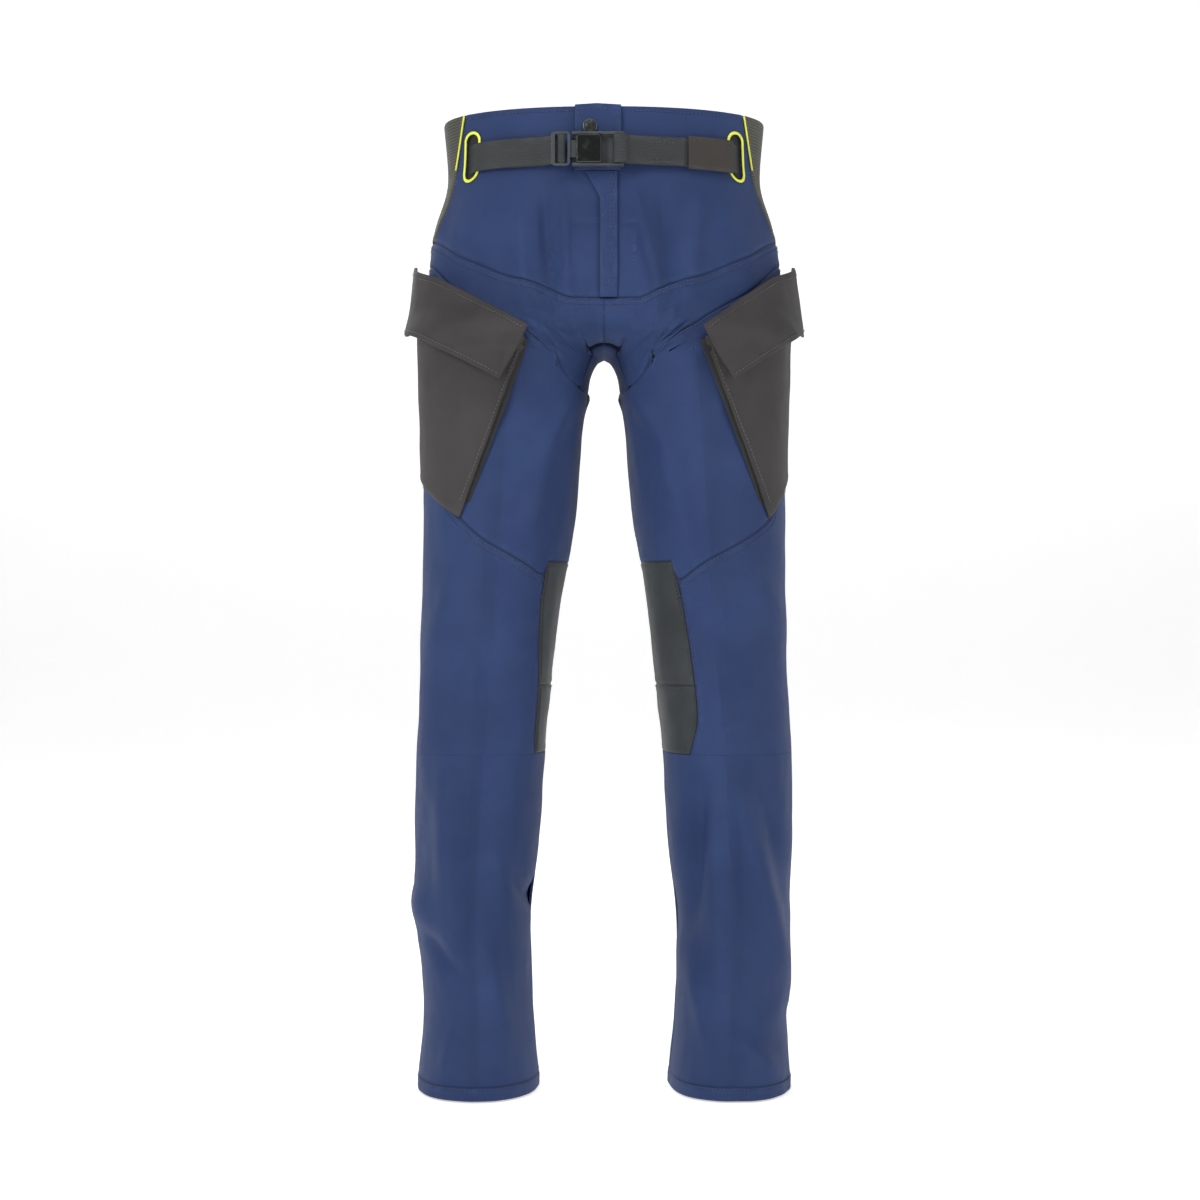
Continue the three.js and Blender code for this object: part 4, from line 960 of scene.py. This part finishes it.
# ---- cargo pockets ----
POCKET_TOP, POCKET_TIP, POCKET_BACK = -236.0, -437.0, 0.6
POCKETS = {"right": (80.0, 154.0), "left": (102.0, 176.0)}
BAG_SEAT, BAG_THICK, BAG_BULGE = 1.3, 2.2, 6.5
FLAP_DROP, FLAP_OUTER_Z, FLAP_LEAN, FLAP_LIFT, FLAP_FLARE, FLAP_THICK = 56.0, -152.0, 40.0, 15.5, 4.0, 2.4
FLAP_FRONT_LEAN, FLAP_TURN = 30.0, 0.62  # how far its front end leans; the share of it that faces the front
FLAP_SIDE_X, FLAP_SIDE_Z = 170.0, -176.0  # where its straight top edge reaches the side


def bag_face(u, v):
    swell = np.sin(np.pi * np.clip(0.25 + 0.75 * u, 0, 1)) * (1 - v * v)
    return BAG_SEAT + BAG_THICK + BAG_BULGE * np.clip(swell, 0, 1)


for side in SIDES:
    top_x, tip_x = POCKETS[side]
    top_front = float(sweep_at(top_x, POCKET_TOP))
    bag_front = front_edge([(top_x, POCKET_TOP), (tip_x, POCKET_TIP)])
    mouth = seam([(top_front, POCKET_TOP - 16), (OUTSIDE, FLAP_SIDE_Z), (POCKET_BACK, FLAP_SIDE_Z)])
    foot_front = float(sweep_at(tip_x, POCKET_TIP))
    foot = seam([(foot_front, POCKET_TIP + 2), (OUTSIDE, -388), (POCKET_BACK, -380)])
    bag = Cloth()
    panel(bag, side, bag_front, level(POCKET_BACK), mouth, foot, out=bag_face, thick=BAG_THICK, sewn="rb",
          free="lt")
    row_down(bag, side, bag_front, POCKET_TOP - 20, POCKET_TIP + 12, 3.2, out=BAG_SEAT + BAG_THICK + 4)
    made(bag, f"bag_cloth_{side}", [GREY, GREY_THREAD], "pocket_grey", "upper", f"pocket_bag_{side}")

    # painted shade: the bellows strip is drawn in the black lining, which stands for the shade in its fold
    bellows = Cloth()
    strip, inset = 5.5 * slot_per_mm, -3.2 * slot_per_mm
    panel(bellows, side, lambda z: bag_front(z) + inset, lambda z: bag_front(z) + strip,
          lambda s: mouth(s) - 3, level(POCKET_TIP + 18), out=lambda u, v: bag_face(u * 0, v) - BAG_THICK - 0.6,
          thick=1.0, sewn="", free="lr", cell=3)
    made(bellows, f"bellows_cloth_{side}", [LINING_AND_SHADE], "pocket_bellows", "upper", f"pocket_gusset_{side}")

    lean = FLAP_LEAN * slot_per_mm
    wide = (OUTSIDE - top_front) / slot_per_mm
    u, v = np.broadcast_arrays(shares(64, np.full((1, 1), wide), 0), shares(26, np.full((1, 1), FLAP_DROP), 1))

    def flap_place(u, v):
        """Sweep and height at shares u along and v down: straight from the front, then round the side."""
        ahead = np.minimum(u / FLAP_TURN, 1)
        over = np.clip((u - FLAP_TURN) / (1 - FLAP_TURN), 0, 1)
        x = top_x + FLAP_FRONT_LEAN * v + (FLAP_SIDE_X - top_x) * ahead
        top = POCKET_TOP + (FLAP_SIDE_Z - POCKET_TOP) * ahead
        z = top + (FLAP_OUTER_Z - top) * over - FLAP_DROP * v
        s = sweep_at(x, z)
        return s + (OUTSIDE + lean * v - s) * over, z

    flap_s, flap_z = flap_place(u, v)
    stand = FLAP_LIFT + FLAP_THICK + FLAP_FLARE * v * v
    flap = Cloth()
    lay(flap, side, flap_s, flap_z, stand, edge_gaps(u, v, wide, FLAP_DROP), FLAP_THICK, free="lrtb")
    along = np.linspace(0.02, 0.98, ROW_POINTS)
    for down in (0.09, 0.93):
        row_s, row_z = flap_place(along, np.full_like(along, down))
        sew(flap, side, row_s, row_z, FLAP_LIFT + FLAP_THICK + FLAP_FLARE * down ** 2)
    made(flap, f"flap_cloth_{side}", [GREY, GREY_THREAD], "pocket_grey", f"flap_{side}", f"pocket_flap_{side}")

# ---- waist tab and fly ----
TAB_FACE = FRONT_Y - 0.75  # the back of both laps
TAB_RIGHT, TAB_LEFT, TAB_BOTTOM, TAB_THICK = -31.0, 18.0, -68.0, 2.4
FLY_LEFT, FLY_TOP, FLY_BOTTOM, FLY_THICK = 14.0, -68.4, -202.6, 2.0
FLY_STITCHES = -1.8  # the x of the row down the fly's other edge
LAP_COLUMNS, LAP_ROWS, LAP_CELL = 22, 20, 3.0


def flat_cloth(left, right, top, bottom, thick):
    """A flat lap of cloth in front of the fly: edges as x at a height and heights at x, in mm."""
    cloth = Cloth()
    high, low = (float(edge(np.array(0.0))) for edge in (top, bottom))
    columns, rows = LAP_COLUMNS, max(int((high - low) / LAP_CELL), LAP_ROWS)
    z = np.full((columns + 1, rows + 1), (high + low) / 2)
    x = np.zeros_like(z)
    for _ in range(10):
        wide = right(z) - left(z)
        u = shares(columns, wide, 0)
        x = left(z) + wide * u
        tall = top(x) - bottom(x)
        v = shares(rows, tall, 1)
        z = top(x) - tall * v
    near = np.minimum.reduce(list(edge_gaps(u, v, wide, tall).values()))
    crown = 0.35 * (1 - np.exp(-near / 1.2)) - 0.35
    outer = np.stack([x, TAB_FACE - thick - crown, z], -1) * MM
    inner = np.stack([x, np.full_like(x, TAB_FACE), z], -1) * MM
    cloth.slab(outer, inner, np.stack([x, z, 0 * x], -1), np.minimum(near + 1.5, 30))
    cloth.cut_area = grid_area(outer)
    return cloth


def flat_row(cloth, corners, y, **how):
    """Stitches on a flat lap through corners [x, z]."""
    corners = np.array(corners, float)
    runs = run_along(corners)
    places = np.linspace(0, runs[-1], 120)
    x, z = (np.interp(places, runs, corners[:, k]) for k in (0, 1))
    path = np.stack([x, np.full_like(x, y), z], -1) * MM
    cloth.stitches(path, np.tile([0.0, -1.0, 0.0], (len(x), 1)), **how)


def tab_top(x):
    return np.interp(x, [TAB_RIGHT, -8, TAB_LEFT], [1, 2.5, 1])


def fly_right(z):
    """The fly's free edge, which slants up to the tab."""
    return np.interp(z, [-201, -97, -70], [-4.5, -4.5, -19])


tab = flat_cloth(level(TAB_RIGHT), level(TAB_LEFT), tab_top, level(TAB_BOTTOM), TAB_THICK)
tab_front = TAB_FACE - TAB_THICK
for inset in (3, 7):
    right, left, low = TAB_RIGHT + inset, TAB_LEFT - inset, TAB_BOTTOM + inset
    flat_row(tab, [(right, -2), (right, low), (left, low), (left, -2)], tab_front)
flat_row(tab, [(-27, -3.5), (15, -3.5)], tab_front)
for x in (-27, 13):
    flat_row(tab, [(x - 3, -60), (x + 3, -60), (x - 3, -61), (x + 3, -61)], tab_front - 0.2, gap=0.0)
made_blue(tab, "tab_cloth", "tab", "waist_tab")

fly = flat_cloth(fly_right, level(FLY_LEFT), level(FLY_TOP), level(FLY_BOTTOM), FLY_THICK)
fly_front = TAB_FACE - FLY_THICK
for x in (10.5, 6.5):
    flat_row(fly, [(x, -71), (x, -178), (x - 3, -190), (x - 8, -199)], fly_front)
flat_row(fly, [(FLY_STITCHES, -98), (FLY_STITCHES, -199)], fly_front)
made_blue(fly, "fly_cloth", "fly", "fly_flap")

# ---- belt ----
BELT_Z, WEB_WIDTH, WEB = -48.0, 30.0, 1.6
BELT_PITCH, BELT_EASING = 2.2, 2  # the distance between its places in mm, and how often its corners are eased
PATCH_WIDTH, PATCH_THICK = 35.0, 1.3
BUCKLE_BACK = box_mm("buckle_housing")[1].y
HOUSING_RIGHT = box_mm("buckle_housing")[1].x
LOCK_LEFT = box_mm("ladder_lock")[0].x
END_BAR = 6.0
OUTSIDE_LIFT, INSIDE_LIFT = 2.2, -8.0
slot_half = 7.4 * slot_per_mm


def belt_point(sweep, out):
    """A place in plan, at the belt's height, out mm from the garment."""
    return off_surface(sweep, BELT_Z, out)[:2]


def mirrored(point):
    return -point[0], point[1]


def outside_run(from_x, to_x, lift):
    """Places in plan along the outside of the left half's front."""
    return [belt_point(sweep_at(x, BELT_Z), lift) for x in np.linspace(from_x, to_x, 12)]


def rounded_path(path):
    """A plan path resampled evenly, with its corners eased."""
    path = np.array([np.asarray(p, float) for p in path])
    run = run_along(path)
    places = np.arange(0, run[-1] + BELT_PITCH / 2, BELT_PITCH / 2)
    even = np.stack([np.interp(places, run, path[:, k]) for k in (0, 1)], -1)
    for _ in range(BELT_EASING):
        even[1:-1] = (even[:-2] + 2 * even[1:-1] + even[2:]) / 4
    return even[::2]


def strap(cloth, path, thick, width):
    """A flat strap along a plan path, its face away from the body on the right of its run."""
    path = rounded_path(path)
    along = np.gradient(path, axis=0)
    along /= np.linalg.norm(along, axis=1, keepdims=True)
    normal = np.stack([along[:, 1], -along[:, 0]], -1)
    heights = np.array([-1, -0.97, -0.9, -0.6, -0.3, 0, 0.3, 0.6, 0.9, 0.97, 1]) * width / 2
    crown = np.array([0.45, 0.15, 0, 0, 0, 0, 0, 0, 0, 0.15, 0.45]) * thick * 0.5
    run, height = np.meshgrid(run_along(path), heights, indexing="ij")

    def face(out):
        xy = path[:, None, :] + normal[:, None, :] * out[None, :, None]
        return np.concatenate([xy, (BELT_Z + height)[..., None]], -1)

    outer, inner = face(thick - crown), face(crown)
    edge = 1.5 + (width / 2 - np.abs(height))
    cloth.slab(outer * MM, inner * MM, np.stack([run, height, 0 * run], -1), edge)
    cloth.cut_area += grid_area(outer * MM)
    return path, normal


def strap_rows(cloth, path, normal, thick, heights, part=slice(None)):
    """Rows of stitches along part of a strap's face, at heights from its middle."""
    normals = np.pad(normal, ((0, 0), (0, 1)))
    for height in heights:
        line = np.concatenate([path + normal * thick, np.full((len(path), 1), BELT_Z + height)], 1) * MM
        cloth.stitches(line[part], normals[part])


entry, leave = slot_sweep - slot_half, slot_sweep + slot_half
bar_back = BUCKLE_BACK - 1.8
bar_left = HOUSING_RIGHT - END_BAR - 2.4
inside = [belt_point(s, INSIDE_LIFT) for s in np.linspace(leave + 0.012, 2 - leave - 0.012, 60)]
strap_path = [
    (bar_left, bar_back), (HOUSING_RIGHT + 6, bar_back + 0.6), *outside_run(44, 126, OUTSIDE_LIFT + 1.2),
    belt_point(entry, OUTSIDE_LIFT + 0.7), belt_point(leave, INSIDE_LIFT + 2.6), *inside,
    mirrored(belt_point(leave, INSIDE_LIFT + 2.6)),
]
belt = Cloth()
strap(belt, strap_path, WEB, WEB_WIDTH)
over_bar = [
    (bar_left - 1.2, bar_back + 0.2), (bar_left - 1.6, bar_back - 6), (HOUSING_RIGHT + 1, BUCKLE_BACK - 9.2),
    (HOUSING_RIGHT + 5, bar_back - 2.2), *outside_run(46, 84, OUTSIDE_LIFT + 1.2 + WEB + 0.5),
]
fold_path, fold_normal = strap(belt, over_bar, WEB, WEB_WIDTH)
sewn_part = slice(int(len(fold_path) * 0.55), -2)
strap_rows(belt, fold_path, fold_normal, WEB, (-12, -9, 9, 12), sewn_part)
made(belt, "belt_webbing_strap", [WEBBING, BLACK_THREAD], "webbing", "upper", "belt_strap", held="laid")

patch = Cloth()
patch_path = [
    *outside_run(88, 126, OUTSIDE_LIFT + 1.2 + WEB + 0.3), belt_point(entry, OUTSIDE_LIFT + WEB + 0.7),
]
line, normal = strap(patch, patch_path, PATCH_THICK, PATCH_WIDTH)
strap_rows(patch, line, normal, PATCH_THICK, (-14.5, 14.5))
made(patch, "belt_patch_cloth", [PATCH, BLACK_THREAD], "belt_patch", "upper", "belt_patch", held="laid")

behind, before, tail = BUCKLE_BACK - 0.4, BUCKLE_BACK - 7.3, BUCKLE_BACK + 0.1
end_path = [
    *map(mirrored, [
        belt_point(leave, -4.6), belt_point(slot_sweep, -1.6), belt_point(entry, OUTSIDE_LIFT + 0.4),
        *outside_run(126, 66, OUTSIDE_LIFT + 2.6),
    ]),
    (LOCK_LEFT + 1, behind), (LOCK_LEFT + 8.4, behind), (LOCK_LEFT + 8.4, before),
    (LOCK_LEFT + 13.1, before), (LOCK_LEFT + 13.1, tail), (LOCK_LEFT + 1, tail),
    *map(mirrored, outside_run(66, 98, OUTSIDE_LIFT + 0.4)),
]
loose = Cloth()
strap(loose, end_path, WEB, WEB_WIDTH)
made(loose, "belt_webbing_end", [WEBBING, BLACK_THREAD], "webbing", "belt_half", "belt_end", held="laid")


# ---- hard pieces ----
def turns(count):
    """Angles all the way round, evenly spaced."""
    return np.linspace(0, 2 * np.pi, count, endpoint=False)


def rounded_copy(node, name, material, body, radius):
    """A CAD node's own mesh with its edges rounded over."""
    piece = linked(name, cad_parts[node].data.copy())
    piece.data.materials.clear()
    piece.data.materials.append(material)
    weld = piece.modifiers.new("weld", "WELD")
    weld.merge_threshold = 0.00001
    bevel = piece.modifiers.new("round", "BEVEL")
    bevel.width = radius * MM
    bevel.segments = 3
    bevel.limit_method = "ANGLE"
    bevel.angle_limit = math.radians(32)
    piece.data.polygons.foreach_set("use_smooth", np.ones(len(piece.data.polygons), bool))
    soft = piece.modifiers.new("normals", "WEIGHTED_NORMAL")
    soft.keep_sharp = True
    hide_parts(node)
    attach(piece, body)


rounded_copy("ladder_lock", "lock_moulding", BUCKLE, "belt_half", 0.7)
rounded_copy("buckle_housing", "housing_moulding", BUCKLE, "upper", 0.7)
rounded_copy("release_cover", "cover_moulding", COVER, "cover", 0.6)


def tube_ring(name, rings, material, slot, body, *nodes, closed=True):
    """Joins rings of points into a tube, closed on itself or with capped ends."""
    rings = np.array(rings)
    count, around = rings.shape[:2]
    faces = []
    for i in range(count if closed else count - 1):
        here, following = i * around, (i + 1) % count * around
        for k in range(around):
            beside = (k + 1) % around
            faces.append((here + k, following + k, following + beside, here + beside))
    if not closed:
        faces += [tuple(range(around)), tuple((count - 1) * around + k for k in reversed(range(around)))]
    mesh = bpy.data.meshes.new(name)
    mesh.from_pydata((rings.reshape(-1, 3) * MM).tolist(), [], faces)
    mesh.polygons.foreach_set("use_smooth", np.ones(len(faces), bool))
    mesh.materials.append(material)
    mesh.update()
    piece = linked(name, mesh)
    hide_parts(*nodes)
    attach(piece, body)


def beside_slot(right, up, out):
    """A place beside the middle of the belt slot, in mm along the slot's own tilted axes."""
    sweep = slot_sweep + (right - up * SLOT_TILT) * slot_per_mm
    return off_surface(sweep, SLOT_Z + up, out)


PIPING_OUT, PIPING_RADIUS, PIPING_TOP, PIPING_BOTTOM = 1.3, 1.1, -1.2, -56.0

for side, sign in SIDES.items():
    flip = np.array([sign, 1, 1])
    rings = []
    for turn in turns(72):
        end = (SLOT_HEIGHT - SLOT_WIDTH) / 2 * np.clip(math.sin(turn) * 6, -1, 1)
        ring = []
        for part in turns(10):
            radius = SLOT_WIDTH / 2 + 1.4 + 1.6 * math.cos(part)
            out = 1.2 + 1.0 * math.sin(part)
            ring.append(beside_slot(radius * math.cos(turn), end + radius * math.sin(turn), out) * flip)
        rings.append(ring[::sign])
    tube_ring(f"slot_ring_{side}", rings, YELLOW, "yellow_trim", "upper", f"slot_trim_{side}")
    rings = []
    for z in np.linspace(PIPING_TOP, PIPING_BOTTOM, 40):
        s = float(side_front(z))
        middle = off_surface(s, z, PIPING_OUT)
        along = across(s, z)
        along /= np.linalg.norm(along)
        face = outwards(s, z)
        ring = [(middle + PIPING_RADIUS * (along * math.cos(a) + face * math.sin(a))) * flip for a in turns(8)]
        rings.append(ring[::sign])
    tube_ring(f"piping_cord_{side}", rings, YELLOW, "yellow_trim", "upper", f"seam_piping_{side}",
              closed=False)

SNAP_X, SNAP_Z = -15.0, -22.0
cap_back = box_mm("snap_cap")[1].y
cap_profile = [(0.01, 0), (7.3, 0), (7.7, 0.35), (7.8, 0.8), (7.5, 1.3), (6.6, 1.55), (5.8, 1.4), (5.1, 1.5),
               (3.4, 1.8), (1.5, 1.9), (0.01, 1.92)]
cap_rings = [
    [(SNAP_X + radius * math.cos(a), cap_back - forward, SNAP_Z + radius * math.sin(a)) for a in turns(48)]
    for radius, forward in cap_profile
]
tube_ring("snap_dome", cap_rings, METAL, "dark_metal", "tab", "snap_cap", closed=False)

for node, material in (
    ("snap_socket", METAL), ("snap_stud", METAL), ("zip_slider", METAL), ("zip_puller", METAL),
    ("zip_bottom_stop", METAL), ("zip_teeth_left", ZIP), ("zip_teeth_right", ZIP), ("zip_tape_left", LINING_AND_SHADE),
    ("zip_tape_right", LINING_AND_SHADE), ("fly_underlap", BLUE),
):
    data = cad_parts[node].data
    data.materials.clear()
    data.materials.append(material)

# ---- stage ----
scene = bpy.context.scene


def area_light(name, place, target, size, power):
    light = bpy.data.lights.new(name, "AREA")
    light.shape = "RECTANGLE"
    light.size, light.size_y = size
    light.energy = power
    lamp = linked(name, light)
    lamp.location = place
    lamp.rotation_euler = (Vector(target) - Vector(place)).to_track_quat("-Z", "Y").to_euler()


def pale_floor():
    """A sheet of pale paper that lies under the object and curves up behind it."""
    reach, behind, bend = 9.0, 3.2, 1.4
    z = HEM * MM - 0.002
    profile = [(-reach, z), (behind, z)]
    for a in np.linspace(0.1, math.pi / 2, 16):
        profile.append((behind + bend * math.sin(a), z + bend * (1 - math.cos(a))))
    profile.append((behind + bend, z + reach))
    points = [(x, y, height) for y, height in profile for x in (-reach, reach)]
    faces = [(2 * i, 2 * i + 1, 2 * i + 3, 2 * i + 2) for i in range(len(profile) - 1)]
    mesh = bpy.data.meshes.new("floor")
    mesh.from_pydata(points, [], faces)
    mesh.polygons.foreach_set("use_smooth", np.ones(len(faces), bool))
    n = Nodes("floor_paper")
    tone = n.mix(n.noise(n.place(), 3, 2), (0.9, 0.9, 0.9, 1), (0.93, 0.93, 0.93, 1))
    roughness = n.math("MULTIPLY_ADD", n.noise(n.place(), 6, 2), 0.1, 0.7)
    mesh.materials.append(n.finish(tone, roughness, n.bump(n.noise(n.place(), 50, 2), 0.0002, 0.2),
                                   Emission_Color=(1, 1, 1, 1), Emission_Strength=0.55))
    floor = linked("floor", mesh)


pale_floor()
middle = (0, 0, -0.5)
area_light("key", (-2.0, -1.9, 0.9), middle, (0.7, 1.4), 50)
area_light("fill", (2.3, -1.3, 0.4), middle, (0.8, 2.0), 27)
area_light("overhead", (0.1, -1.6, 1.8), middle, (1.2, 0.8), 20)
area_light("behind", (-0.8, 2.2, 0.9), middle, (1.6, 1.6), 22)
world = bpy.data.worlds.new("studio")
world.use_nodes = True
world.node_tree.nodes["Background"].inputs["Color"].default_value = (1, 1, 1, 1)
world.node_tree.nodes["Background"].inputs["Strength"].default_value = 0.06
scene.world = world
scene.view_settings.view_transform = "Standard"

camera = bpy.data.cameras.new("camera")
camera.sensor_width = 36
camera.lens = 59.5
eye = linked("camera", camera)
eye.location = (-0.0044, -2.2, -0.5236)
eye.rotation_euler = (math.radians(90), 0, 0)
scene.camera = eye
